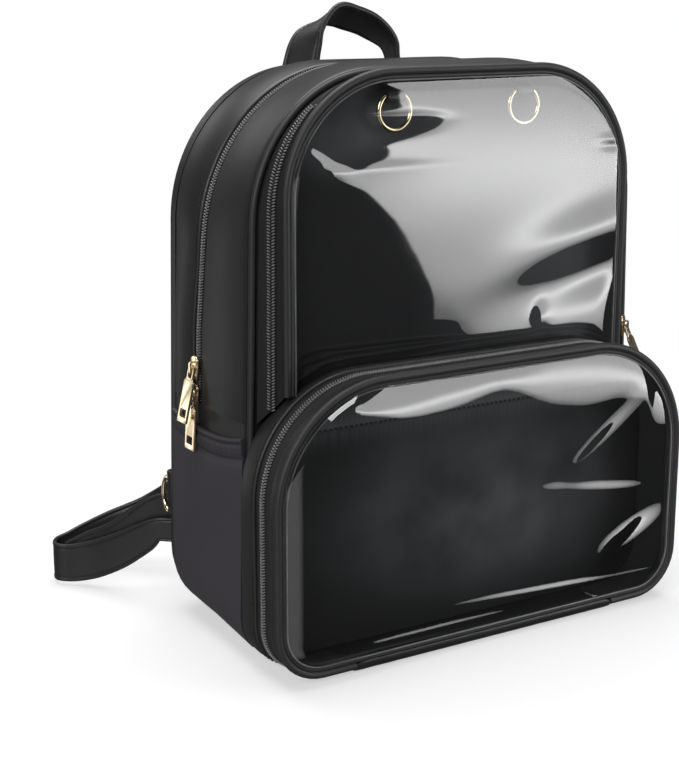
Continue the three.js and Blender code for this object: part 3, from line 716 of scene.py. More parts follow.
def bead_tree():
    """Node tree that repeats a bead along edges, alternating to either side."""
    known = bpy.data.node_groups.get(BEAD_TREE)
    if known:
        return known
    tree = bpy.data.node_groups.new(BEAD_TREE, "GeometryNodeTree")
    tree.interface.new_socket("Geometry", in_out="INPUT", socket_type="NodeSocketGeometry")
    for name in BEAD_INPUTS:
        tree.interface.new_socket(name, in_out="INPUT", socket_type="NodeSocketFloat")
    tree.interface.new_socket("Finish", in_out="INPUT", socket_type="NodeSocketMaterial")
    tree.interface.new_socket("Geometry", in_out="OUTPUT", socket_type="NodeSocketGeometry")

    nodes = Nodes(tree)
    add = nodes.node
    given = {value.socket.name: value for value in nodes.outputs_of(add("NodeGroupInput"))}
    line = add("GeometryNodeMeshToCurve", None, {"Mesh": given["Geometry"]})
    spaced = add("GeometryNodeResampleCurve", {"mode": "LENGTH"}, {"Curve": line, "Length": given["Pitch"]})
    side = nodes.maths("MODULO", add("GeometryNodeInputIndex"), 2.0) * 2.0 - 1.0
    out = add("GeometryNodeInputNamedAttribute", {"data_type": "FLOAT_VECTOR"}, {"Name": "out"})
    upright = add("FunctionNodeAlignRotationToVector", {"axis": "Z"}, {"Vector": out})
    turned = add(
        "FunctionNodeAlignRotationToVector", {"axis": "X", "pivot_axis": "Z"},
        {"Rotation": upright, "Vector": add("GeometryNodeInputTangent")},
    )
    tilt = add("ShaderNodeCombineXYZ", None, {2: side * given["Slant"]})
    spin = add("FunctionNodeEulerToRotation", None, {0: tilt})
    rotation = add("FunctionNodeRotateRotation", {"rotation_space": "LOCAL"}, {0: turned, 1: spin})
    ball = {"Segments": BEAD_SEGMENTS, "Rings": BEAD_RINGS, "Radius": 0.5}
    bead = add("GeometryNodeMeshUVSphere", None, ball)
    size = add("ShaderNodeCombineXYZ", None, {0: given["Length"], 1: given["Width"], 2: given["Height"]})
    placed = add(
        "GeometryNodeInstanceOnPoints", None,
        {"Points": spaced, "Instance": bead, "Rotation": rotation, "Scale": size},
    )
    shift = add("ShaderNodeCombineXYZ", None, {1: side * given["Aside"] / given["Width"]})
    moved = add("GeometryNodeTranslateInstances", None, {"Instances": placed, "Translation": shift})
    real = add("GeometryNodeRealizeInstances", None, {0: moved})
    dressed = add("GeometryNodeSetMaterial", None, {"Geometry": real, "Material": given["Finish"]})
    add("NodeGroupOutput", None, {0: dressed})
    return tree


def beads(name, lines, finish, pitch, size, aside=0.0, slant=0.0):
    """Mesh piece of beads along guide lines, each a list of (point, outward direction)."""
    points, edges, out = [], [], []
    for line in lines:
        start = len(points)
        points += [tuple(p) for p, _ in line]
        out += [value for _, direction in line for value in direction]
        edges += [(start + i, start + i + 1) for i in range(len(line) - 1)]
    mesh = bpy.data.meshes.new(name + "_guide")
    mesh.from_pydata(points, edges, [])
    mesh.attributes.new("out", "FLOAT_VECTOR", "POINT").data.foreach_set("vector", out)
    guide = bpy.data.objects.new(name + "_guide", mesh)
    bpy.context.scene.collection.objects.link(guide)
    modifier = guide.modifiers.new("beads", "NODES")
    modifier.node_group = bead_tree()
    given = dict(zip(BEAD_INPUTS, (pitch, *size, aside, slant)), Finish=finish)
    for item in modifier.node_group.interface.items_tree:
        if item.in_out == "INPUT" and item.name in given:
            modifier[item.identifier] = given[item.name]
    graph = bpy.context.evaluated_depsgraph_get()
    result = bpy.data.meshes.new_from_object(guide.evaluated_get(graph))
    bpy.data.objects.remove(guide)
    if not result.polygons:
        raise RuntimeError(name + ": no beads were made")
    result.name = name
    return to_piece(name, result, finish, ALL_SMOOTH)


# Size of one zip tooth along, across and out of its zip, and how far it slants
TOOTH, TOOTH_SLANT = (1.05 * MM, 2.8 * MM, 1.9 * MM), math.radians(20)
# Height of a stitch as a share of its width, and the lowest that a line of stitches runs
STITCH_FLAT, SEAM_FLOOR = 0.8, 0.4 * MM


def seam_line(shape_at, y, lift, stretch, bend=None):
    """Guide line on an open stretch of an outline, lifted off its surface."""
    flat = stretch(shape_at(y).line(-lift))
    line = [Vector((x, bend(y, z) if bend else y, max(z, SEAM_FLOOR))) for x, z in flat]
    return [(p, outward(line, i, False)) for i, p in enumerate(line)]


def stitches(name, lines):
    """Row of stitches along guide lines."""
    s = sizes()
    size = (s.stitch_length, s.stitch_width, s.stitch_width * STITCH_FLAT)
    return settle(beads(name, lines, finish_of("thread"), s.stitch_pitch, size), slot="faux_leather")


def coil(name, line):
    """Two rows of zip teeth along a guide line."""
    s = sizes()
    piece = beads(name, [line], finish_of("coil"), s.coil_pitch, TOOTH, s.coil_reach, TOOTH_SLANT)
    return settle(piece, slot="zip")


# Smooth routes and straps

def spline(points):
    """Centripetal curve through points, as a function of 0 to 1."""
    points = [Vector(p) for p in points]
    first = points[0] * 2 - points[1]
    last = points[-1] * 2 - points[-2]
    chain = [first, *points, last]

    def at(t):
        place = clamp(t) * (len(points) - 1)
        i = min(int(place), len(points) - 2)
        w = place - i
        p0, p1, p2, p3 = chain[i:i + 4]
        d1 = math.sqrt((p2 - p1).length) or 1.0
        d0 = math.sqrt((p1 - p0).length) or d1
        d2 = math.sqrt((p3 - p2).length) or d1
        m1 = ((p1 - p0) / d0 - (p2 - p0) / (d0 + d1) + (p2 - p1) / d1) * d1
        m2 = ((p2 - p1) / d1 - (p3 - p1) / (d1 + d2) + (p3 - p2) / d2) * d1
        a = 2 * p1 - 2 * p2 + m1 + m2
        b = 3 * p2 - 3 * p1 - 2 * m1 - m2
        return ((a * w + b) * w + m1) * w + p1

    return at


# Half of a strap's section: place across and thickness, with a raised sewn border
STRAP_PROFILE = [
    (1.0, 0.25), (0.985, 0.75), (0.94, 1.12), (0.87, 1.2), (0.81, 1.02), (0.77, 0.70),
    (0.73, 0.92), (0.6, 1.0), (0.3, 1.03), (0.0, 1.04),
]
# Where the stitches run across a strap, and how high they lie in its thickness
STITCH_AT, STITCH_LEVEL = 0.77, 0.86


def ribbon(name, route, thickness, steps):
    """Leather strap along rows of (centre, across, width) in millimetres, and its lines of stitches."""
    path = spline([Vector(row[0]) * MM for row in route])
    turn = spline([row[1] for row in route])
    top = STRAP_PROFILE + [(-u, v) for u, v in reversed(STRAP_PROFILE[:-1])]
    section = top + [(u, -v) for u, v in reversed(top)]
    ahead = 1e-3
    rings, lines = [], ([], [])
    for i in range(steps + 1):
        t = i / steps
        centre = path(t)
        tangent = (path(t + ahead) - path(t - ahead)).normalized()
        across = turn(t)
        across = (across - tangent * across.dot(tangent)).normalized()
        normal = tangent.cross(across)
        place = t * (len(route) - 1)
        row = min(int(place), len(route) - 2)
        half = mix(route[row][2], route[row + 1][2], place - row) / 2 * MM
        rings.append([centre + across * (u * half) + normal * (v * thickness / 2) for u, v in section])
        for line, face in zip(lines, (1, -1)):
            for u in (STITCH_AT, -STITCH_AT):
                spot = centre + across * (u * half) + normal * (face * STITCH_LEVEL * thickness / 2)
                line.append((spot, normal * face))
    piece = skin(name, rings, finish_of("leather"), sharp=CLOTH_SHARP)
    sewn = [line[side::2] for line in lines for side in (0, 1)]
    return piece, sewn


# Metal

def flat_metal(outline, holes, thickness, bevel):
    """Plate with rounded edges and holes, as a mesh in its own X and Y."""
    curve = bpy.data.curves.new("plate", "CURVE")
    curve.dimensions = "2D"
    curve.fill_mode = "BOTH"
    curve.extrude = thickness / 2 - bevel
    curve.bevel_depth = bevel
    curve.bevel_resolution = 2
    curve.offset = -bevel
    return curve_mesh(curve, [[(x, y, 0.0) for x, y in points] for points in (outline, *holes)])


def wire(points, radius):
    """Round wire along a closed line, as a mesh."""
    curve = bpy.data.curves.new("wire", "CURVE")
    curve.dimensions = "3D"
    curve.bevel_depth = radius
    curve.bevel_resolution = 6
    return curve_mesh(curve, [points])


def curve_mesh(curve, lines):
    """Mesh of a curve along closed lines; the curve is then removed."""
    for points in lines:
        path = curve.splines.new("POLY")
        path.points.add(len(points) - 1)
        for knot, place in zip(path.points, points):
            knot.co = (*place, 1.0)
        path.use_cyclic_u = True
    holder = bpy.data.objects.new(curve.name, curve)
    bpy.context.scene.collection.objects.link(holder)
    graph = bpy.context.evaluated_depsgraph_get()
    mesh = bpy.data.meshes.new_from_object(holder.evaluated_get(graph))
    bpy.data.objects.remove(holder)
    bpy.data.curves.remove(curve)
    close_up(mesh, 1e-6)
    return mesh


def joined(meshes):
    """One mesh from several."""
    work = bmesh.new()
    for mesh in meshes:
        work.from_mesh(mesh)
    result = bpy.data.meshes.new("joined")
    work.to_mesh(result)
    work.free()
    return result


def box_outline(low, high, bottom, top):
    """Corners of a rectangle."""
    return [(low, bottom), (high, bottom), (high, top), (low, top)]


def arc(x, y, radius, degrees):
    """Points of a circle at some angles."""
    angles = [math.radians(value) for value in degrees]
    return [(x + radius * math.cos(a), y + radius * math.sin(a)) for a in angles]


def bow(a, b, c, t):
    """Point on the curve from a to c that leans toward b."""
    return tuple((1 - t) ** 2 * Vector(a) + 2 * t * (1 - t) * Vector(b) + t * t * Vector(c))


def rounded(points, radius, steps=4):
    """Outline with its corners rounded."""
    result = []
    for i, point in enumerate(points):
        here = Vector(point)
        before = (Vector(points[i - 1]) - here).normalized()
        after = (Vector(points[(i + 1) % len(points)]) - here).normalized()
        ends = here + before * radius, here + after * radius
        result += [bow(ends[0], here, ends[1], k / steps) for k in range(steps + 1)]
    return result


# Turns a plate so that it faces out along X, with its own X across and its own Y up
SIDE_ON = Matrix(((0, 0, 1, 0), (1, 0, 0, 0), (0, 1, 0, 0), (0, 0, 0, 1)))
# Turns a plate on edge, with its own X out and its own Y up
ON_EDGE = Matrix(((1, 0, 0, 0), (0, 0, -1, 0), (0, 1, 0, 0), (0, 0, 0, 1)))


def pull_mesh():
    """Zip pull: a plate that hangs from its eye, with a rectangular hole near its foot."""
    length, half, eye_half, eye_length, neck = 35 * MM, 6.25 * MM, 4 * MM, 7.2 * MM, 0.8 * MM
    shoulder, rim, hole_height, small = 1.5 * MM, 3.5 * MM, 5 * MM, 0.5 * MM
    right = [(half, -length), (half, -eye_length - shoulder), (eye_half, -eye_length), (eye_half, neck)]
    outline = rounded([(-x, y) for x, y in reversed(right)] + right, 0.7 * MM)
    foot = rim - length
    eye = rounded(box_outline(-2.3 * MM, 2.3 * MM, neck - eye_length, -neck), small)
    hole = rounded(box_outline(-3.75 * MM, 3.75 * MM, foot, foot + hole_height), small)
    mesh = flat_metal(outline, [eye, hole], 1.4 * MM, 0.3 * MM)
    mesh.transform(SIDE_ON)
    return mesh


def slider_mesh():
    """Zip slider: a drop-shaped crown under a bail."""
    top, wide, crown, lift, opening, bar = 7.5 * MM, 9 * MM, 2.2 * MM, 0.5 * MM, 2.4 * MM, 0.9 * MM
    shoulder = (0.5 * wide, 0.55 * top)
    steps = 8
    right = [bow((0.28 * wide, -top), (0.5 * wide, 0.0), shoulder, k / steps) for k in range(steps)]
    right += [bow(shoulder, (0.45 * wide, top), (0.0, top), k / steps) for k in range(steps)]
    outline = right + [(0.0, top)] + [(-x, y) for x, y in reversed(right)]
    base = flat_metal(outline, [], crown, 0.7 * MM)
    base.transform(Matrix.Translation((lift + crown / 2, 0, 0)) @ SIDE_ON)
    floor, half = lift + crown, 4 * MM
    foot, peak = floor - crown / 2, floor + opening + bar
    upper = [(peak, half - bar), (peak - bar, half), (foot, half), (foot, half - bar)]
    upper.append((floor + opening, half - bar))
    arch = upper + [(out, -up) for out, up in reversed(upper)]
    bail = flat_metal(rounded(arch, 0.25 * MM, 3), [], 2.4 * MM, 0.22 * MM)
    bail.transform(ON_EDGE)
    return joined([base, bail])


# Operators

class BACKPACK_OT_shell(Operator):
    """Sew the back, the gussets and the panel behind the window"""

    bl_idname = "backpack.shell"
    bl_label = "Shell"

    EDGE_ROLL = 1.4 * MM
    # Stitches beside the main zip: distance from its slot, and lift
    STITCH_ASIDE, STITCH_LIFT = 3.2 * MM, 0.35 * MM
    # The back panel's rim over the edge and back inside: inset and depth, in millimetres
    BACK_INSET, BACK_WALL = 9.0, 2.0
    RIM = [
        (9.0, 0.0), (6.2, 0.35), (4.0, 1.0), (2.4, 1.9), (1.2, 3.4), (0.5, 5.5), (0.1, 8.5), (0.0, 12.0),
        (2.0, 12.0), (2.4, 6.4), (3.6, 3.6), (6.2, 2.3), (9.0, 2.0),
    ]
    # Rings inside the rim, as shares of its size; the last one is the sewn border
    BORDER, BORDER_DEPTH, BORDER_STITCH = 0.93, 0.8, Vector((0, 0.1 * MM, 0))
    # Dip at the border, its half width as a share of the size, and the dip of the whole panel
    BORDER_DIP, BORDER_HALF, PANEL_DIP = 1.1, 0.03, 0.25
    BACK_RINGS = [0.02, 0.2, 0.4, 0.6, 0.75, 0.86, BORDER]
    WALL_RINGS = [0.02, 0.3, 0.6, 0.85, 1.0]
    WALL_MIDDLE = 200 * MM

    def execute(self, context):
        slack = sizes().slack
        rear = strip_section(
            RIM_Y - GAP, MAIN_ZIP_Y + SLOT_HALF, 2.0 * MM, self.EDGE_ROLL, lambda t: part_lean(clamp(2 * t))
        )
        sew("rear_gusset", "leather", sweep(rear, body_at, over, swell=soft(slack, 62 * MM, 3.0)))
        middle = strip_section(
            SEAM_EDGE_Y, MAIN_ZIP_Y - SLOT_HALF, 2.6 * MM, self.EDGE_ROLL,
            lambda t: part_lean(clamp(2 * t - 1)),
        )
        sew("mid_gusset", "leather", sweep(middle, body_at, over, swell=soft(slack, 70 * MM, 8.0)))
        base = strip_section(RIM_Y - GAP, SEAM_EDGE_Y, 0.0, 1.0 * MM, lambda t: None, steps=26)
        sew("base_gusset", "leather", sweep(base, body_at, under, ZIP_END_Z - GAP))
        self.back()
        self.front_wall()
        rows = [MAIN_ZIP_Y + sign * (SLOT_HALF + self.STITCH_ASIDE) for sign in (1, -1)]
        lines = [seam_line(body_at, y, self.STITCH_LIFT, over, part_lean(1.0)) for y in rows]
        stitches("main_zip_stitches", lines)
        return {"FINISHED"}

    def back(self):
        """Rounded back panel with a sewn border."""
        middle_z = BODY_SECTIONS[0]["top"] / 2

        def ring(inset, depth, scale=1.0):
            y = BACK_Y - depth * MM
            line = body_at(y).line(inset * MM)
            return [Vector((x * scale, y, mix(middle_z, z, scale))) for x, z in line]

        def dip(scale):
            return self.BORDER_DIP * bump(scale - self.BORDER, self.BORDER_HALF) + self.PANEL_DIP

        rings = [ring(self.BACK_INSET, dip(s), s) for s in self.BACK_RINGS]
        rings += [ring(inset, depth) for inset, depth in self.RIM]
        rings += [ring(self.BACK_INSET, self.BACK_WALL + dip(s), s) for s in reversed(self.BACK_RINGS)]
        sew("back_panel", "leather", rings)
        border = ring(self.BACK_INSET, self.BORDER_DEPTH, self.BORDER)
        line = [(p - self.BORDER_STITCH, Vector((0, 1, 0))) for p in border]
        stitches("back_panel_stitches", [line + line[:1]])

    def front_wall(self):
        """Cloth panel behind the window."""
        line = body_at(SEAM_Y).line(2 * SEAM_PIPING + GAP)

        def ring(depth, scale):
            return [Vector((x * scale, SEAM_Y + depth, mix(self.WALL_MIDDLE, z, scale))) for x, z in line]

        rings = [ring(-WALL / 2, s) for s in self.WALL_RINGS]
        rings += [ring(WALL / 2, s) for s in reversed(self.WALL_RINGS)]
        sew("front_wall", "cloth", rings, "lining")


class BACKPACK_OT_side_pockets(Operator):
    """Sew the two slip pockets with their puckered hems"""

    bl_idname = "backpack.side_pockets"
    bl_label = "Side pockets"

    COLUMNS = 44
    SKIN, BULGE, SAG, SAG_SIZE = 1.8 * MM, 0.3 * MM, 1.0 * MM, 46 * MM
    # Height of the hem's top at the back and the front, and how far it hangs between them, in millimetres
    MOUTH_REAR, MOUTH_FRONT, MOUTH_HANG = 139.5, 141.5, 24.0
    # Hem rows: distance below the mouth and how far they stand out, in millimetres
    HEM = [
        (13.0, 1.8), (12.4, 1.1), (11.8, 1.2), (11.2, 2.0), (10.2, 2.3), (8.0, 2.6), (6.0, 2.9),
        (4.4, 3.0), (3.4, 2.2), (2.6, 2.2), (1.8, 3.1), (0.8, 3.2), (0.2, 2.6), (0.0, 1.0),
    ]
    # Puckers of the hem: depth and pitch, and how far their spacing wanders
    PUCKER, PUCKER_PITCH, WANDER, WANDER_PITCH = 0.2 * MM, 8.5 * MM, 0.3, 13 * MM
    # Where the puckers fade out above and below, in millimetres, and how far they lift the hem
    FADE_TOP, FADE_END, FADE_LOW, LIFT = 3.0, 12.5, 2.0, 0.4
    # Two rows of stitches: distances below the mouth, and how far they stand out
    STITCH_ROWS, STITCH_OUT = (3.0 * MM, 9.4 * MM), 2.45 * MM

    def execute(self, context):
        lines = []
        for side, sign in SIDES:
            lines += self.pocket(side, sign)
        stitches("side_pocket_stitches", lines)
        return {"FINISHED"}

    def pocket(self, side, sign):
        """Slip pocket of one side; gives back the lines of its stitches."""
        rear_y, front_y = RIM_Y - 1 * MM, SEAM_EDGE_Y + GAP
        sag = soft(self.SAG, self.SAG_SIZE, 21.0 + sign)
        columns, lines = [], [[] for _ in self.STITCH_ROWS]
        for i in range(self.COLUMNS + 1):
            t = i / self.COLUMNS
            y = mix(rear_y, front_y, t)
            top = (mix(self.MOUTH_REAR, self.MOUTH_FRONT, t) - self.MOUTH_HANG * t * (1 - t)) * MM
            spacing = y / self.PUCKER_PITCH + self.WANDER * math.sin(y / self.WANDER_PITCH)
            pucker = self.PUCKER * math.sin(2 * math.pi * spacing)
            shape = body_at(y)
            inner_low, outer_low = (
                shape.line(-out, top - self.HEM[0][0] * MM)[Arch.AT_CORNER:Arch.AT_SIDE]
                for out in (GAP, self.SKIN)
            )

            def at(out, z):
                return Vector((sign * (shape.width / 2 * (1 - BODY_TAPER * z) + out), y, z))

            outer, inner = [], []
            for (x, z), (xi, zi) in zip(outer_low, inner_low):
                point = Vector((sign * x, y, z))
                point.x += sign * (sag(point) * math.sin(math.pi * t) + self.BULGE)
                outer.append(point)
                inner.append(Vector((sign * xi, y, zi)))
            for below, out in self.HEM:
                z = top - below * MM
                fade = clamp(below / self.FADE_TOP) * clamp((self.FADE_END - below) / self.FADE_LOW)
                wave = pucker * fade
                outer.append(at(out * MM + wave, z + self.LIFT * wave))
                inner.append(at(GAP, z))
            columns.append((outer, inner))
            for line, below in zip(lines, self.STITCH_ROWS):
                line.append((at(self.STITCH_OUT + pucker, top - below), Vector((sign, 0, 0))))
        levels = [
            [outer[k] for outer, _ in columns] + [inner[k] for _, inner in reversed(columns)]
            for k in reversed(range(len(columns[0][0])))
        ]
        sew(
            "side_pocket_" + side, "leather", levels, "side_leather", slot="side_leather",
            sharp=55.0, folded=True,
        )
        return lines


class BACKPACK_OT_zips(Operator):
    """Weave the zips' tapes and mould their coils"""

    bl_idname = "backpack.zips"
    bl_label = "Zips"

    # Half of a tape's section, from its edge to its raised middle: inset and distance, in millimetres
    MAIN_HALF = [(2.4, 9.0), (2.4, 5.6), (1.5, 4.6), (1.2, 3.2), (1.2, 0.0)]
    POCKET_HALF = [(2.4, 12.0), (2.4, 9.9), (1.4, 8.6), (1.1, 3.2), (1.1, 0.0)]
    TAPE_BACK = 3.4
    # Section of the window's tape: share of its width, and lift in millimetres
    WINDOW_SECTION = [
        (0, -0.2), (0.12, -0.5), (0.36, 0), (0.42, 0.5), (0.66, 0.5), (0.72, 0), (0.9, 0.1), (1, 0),
        (1, -0.9), (0, -0.9),
    ]
    # Heights of the window tape's ends at the front seam and at the window
    SEAM_END_Z, EDGE_END_Z = 151 * MM, 166 * MM
    # How high the coils lie: below the leather, or above the window's tape at a share of its width
    MAIN_COIL, POCKET_COIL, WINDOW_COIL, WINDOW_COIL_AT = -0.7 * MM, -0.55 * MM, 0.95 * MM, 0.54

    def execute(self, context):
        lean = part_lean(1.0)
        section = self.section(self.MAIN_HALF, MAIN_ZIP_Y, -1, lean)
        sew("main_zip", "tape", sweep(section, body_at, over), "zip_tape", "zip")
        coil("main_zip_coil", seam_line(body_at, MAIN_ZIP_Y, self.MAIN_COIL, over, lean))

        rings, guide = self.window_rings()
        sew("window_zip", "tape", rings, "zip_tape", "zip")
        coil("window_zip_coil", guide)

        middle = (POCKET_ZIP_REAR + POCKET_ZIP_FRONT) / 2
        section = self.section(self.POCKET_HALF, middle, 1, None)
        sew("pocket_zip", "tape", sweep(section, pocket_at, foot_to_foot), "zip_tape", "zip")
        coil("pocket_zip_coil", seam_line(pocket_at, middle, self.POCKET_COIL, foot_to_foot))
        return {"FINISHED"}

    def section(self, half, middle, sign, bend):
        """Whole section of a tape, from one edge over the middle to the other and back behind."""
        edge = half[0][1]
        rows = [(inset, sign * y) for inset, y in half] + [(inset, -sign * y) for inset, y in half[-2::-1]]
        rows += [(self.TAPE_BACK, -sign * edge), (self.TAPE_BACK, sign * edge)]
        return [(inset * MM, middle + y * MM, bend) for inset, y in rows]

    def window_rings(self):
        """Rings across the window's zip, which slopes from the front seam out to the window's edge."""
        seam = over(body_at(SEAM_Y).line(2 * SEAM_PIPING + 2 * GAP, self.SEAM_END_Z))
        edge = over(WINDOW.line(-1 * MM, self.EDGE_END_Z))
        seam = [Vector((x, SEAM_Y - SEAM_PIPING - 2 * GAP, z)) for x, z in seam]
        edge = [Vector((x, WINDOW_Y + PIPING + 2 * GAP, z)) for x, z in edge]
        rings, guide = [], []
        for i, a in enumerate(seam):
            along = seam[min(i + 1, len(seam) - 1)] - seam[max(i - 1, 0)]
            width = edge[i] - a
            out = along.cross(width).normalized()
            if out.y > 0:
                out.negate()
            rings.append([a + width * share + out * (lift * MM) for share, lift in self.WINDOW_SECTION])
            guide.append((a + width * self.WINDOW_COIL_AT + out * self.WINDOW_COIL, out))
        return rings, guide


class BACKPACK_OT_piping(Operator):
    """Sew the piped edges and the bindings inside them"""

    bl_idname = "backpack.piping"
    bl_label = "Piping"

    # Section of the binding inside a piped edge: inset and depth, in millimetres
    BINDING = [(2.0, 0.3), (2.3, -0.9), (3.0, -1.4), (3.9, -1.35), (4.5, -0.8), (4.6, 0.1)]
    # Where a clear sheet's turned edge lies: inset, and distance in front of the frame
    EDGE_INSET, EDGE_OUT = 5.1 * MM, 1.0 * MM

    def execute(self, context):
        piping = finish_of("piping")
        for node, inset, y, radius, shape_at, stretch in (
            ("seam_piping", SEAM_PIPING, SEAM_Y, SEAM_PIPING, body_at, whole),
            ("window_piping", 0.0, WINDOW_Y, PIPING, window_at, over),
            ("pocket_piping", 0.0, POCKET_Y, PIPING, pocket_at, foot_to_foot),
        ):
            settle(cord(node + "_cord", inset, y, radius, shape_at, stretch, piping), node, slot="piping")
        clear, bead = finish_of("clear_edge"), sizes().edge_bead
        for name, y, shape_at, stretch in (
            ("window", WINDOW_Y, window_at, over),
            ("pocket", POCKET_Y, pocket_at, whole),
        ):
            section = [(inset * MM, y + out * MM, None) for inset, out in self.BINDING]
            rings = sweep(section, shape_at, stretch)
            settle(skin(name + "_binding", rings, piping, loop=stretch is whole), slot="piping")
            edge_y = y - self.EDGE_OUT
            edge = cord(name + "_sheet_edge", self.EDGE_INSET, edge_y, bead, shape_at, stretch, clear)
            settle(edge, slot="clear_pvc")
        return {"FINISHED"}


def blurred(values, reach):
    """Values along a line, blurred over a number of samples to either side."""
    weights = np.exp(-np.linspace(-2, 2, 2 * reach + 1) ** 2)
    return np.convolve(np.pad(values, reach, mode="edge"), weights / weights.sum(), mode="valid")


def eased(t):
    """Smooth step from 0 to 1 over an array."""
    t = np.clip(t, 0.0, 1.0)
    return t * t * (3 - 2 * t)


def through(rows, places, reach):
    """Blurred line through rows of (place, value)."""
    return blurred(np.interp(places, *zip(*rows)), reach)


class Relief:
    """How far a clear sheet stands behind its frame, over a fine grid in millimetres."""

    STEP = 0.5

    def __init__(self, half, low, high):
        self.half, self.low, self.high = half / MM, low, high
        self.columns = np.arange(-self.half, self.half + self.STEP, self.STEP)
        lows = np.array([low(x * MM) / MM for x in self.columns])
        self.highs = np.array([high(x * MM) / MM for x in self.columns])
        self.rows = np.arange(lows.min(), self.highs.max() + self.STEP, self.STEP)
        self.x, self.z = np.meshgrid(self.columns, self.rows)
        self.above_low = self.z - lows
        self.below_high = self.highs - self.z
        self.depth = np.zeros_like(self.x)

    def tilts(self, table):
        """Local tilts: middle X and Z, half length, half height, slope at the middle, turn in degrees."""
        total = np.zeros_like(self.x)
        for x, z, wide, tall, slope, turn in table:
            c, s = math.cos(math.radians(turn)), math.sin(math.radians(turn))
            u = (self.x - x) * c + (self.z - z) * s
            w = (self.z - z) * c - (self.x - x) * s
            total += slope * w * np.exp(-((u / wide) ** 2) - (w / tall) ** 2)
        return total

    def soften(self, reach):
        """Blurs the depth both ways."""
        for axis in (0, 1):
            self.depth = np.apply_along_axis(blurred, axis, self.depth, reach)

    def at(self, x, z):
        """Depth at a point in metres."""
        i = min(max((x / MM - self.columns[0]) / self.STEP, 0.0), len(self.columns) - 1.001)
        k = min(max((z / MM - self.rows[0]) / self.STEP, 0.0), len(self.rows) - 1.001)
        a, b = int(i), int(k)
        low = mix(self.depth[b, a], self.depth[b, a + 1], i - a)
        high = mix(self.depth[b + 1, a], self.depth[b + 1, a + 1], i - a)
        return float(mix(low, high, k - b)) * MM


SHEET_COLUMNS, SHEET_ROWS = 150, 150


def grid(half, low, high, columns, rows):
    """Rows of (x, z) over a panel between its lower and upper edge, closer together at its edges."""
    across = [half * math.sin(math.pi / 2 * (2 * i / columns - 1)) for i in range(columns + 1)]
    up = [0.5 - 0.5 * math.cos(math.pi * k / rows) for k in range(rows + 1)]
    return [[(x, mix(low(x), high(x), v)) for x in across] for v in up]


def sheet_piece(name, relief, y):
    """Clear sheet with a relief on a frame's plane, and its front area."""
    flat = grid(relief.half * MM, relief.low, relief.high, SHEET_COLUMNS, SHEET_ROWS)
    front = [[Vector((x, y + relief.at(x, z), z)) for x, z in row] for row in flat]
    rear = Vector((0, CLEAR_SHEET, 0))
    levels = [line + [p + rear for p in reversed(line)] for line in front]
    area = 0.0
    for a, b in zip(front, front[1:]):
        for i in range(SHEET_COLUMNS):
            area += (a[i + 1] - a[i]).cross(b[i] - a[i]).length / 2
            area += (b[i] - b[i + 1]).cross(a[i + 1] - b[i + 1]).length / 2
    return skin(name, levels, finish_of("clear_sheet"), sharp=CLOTH_SHARP, folded=True), area


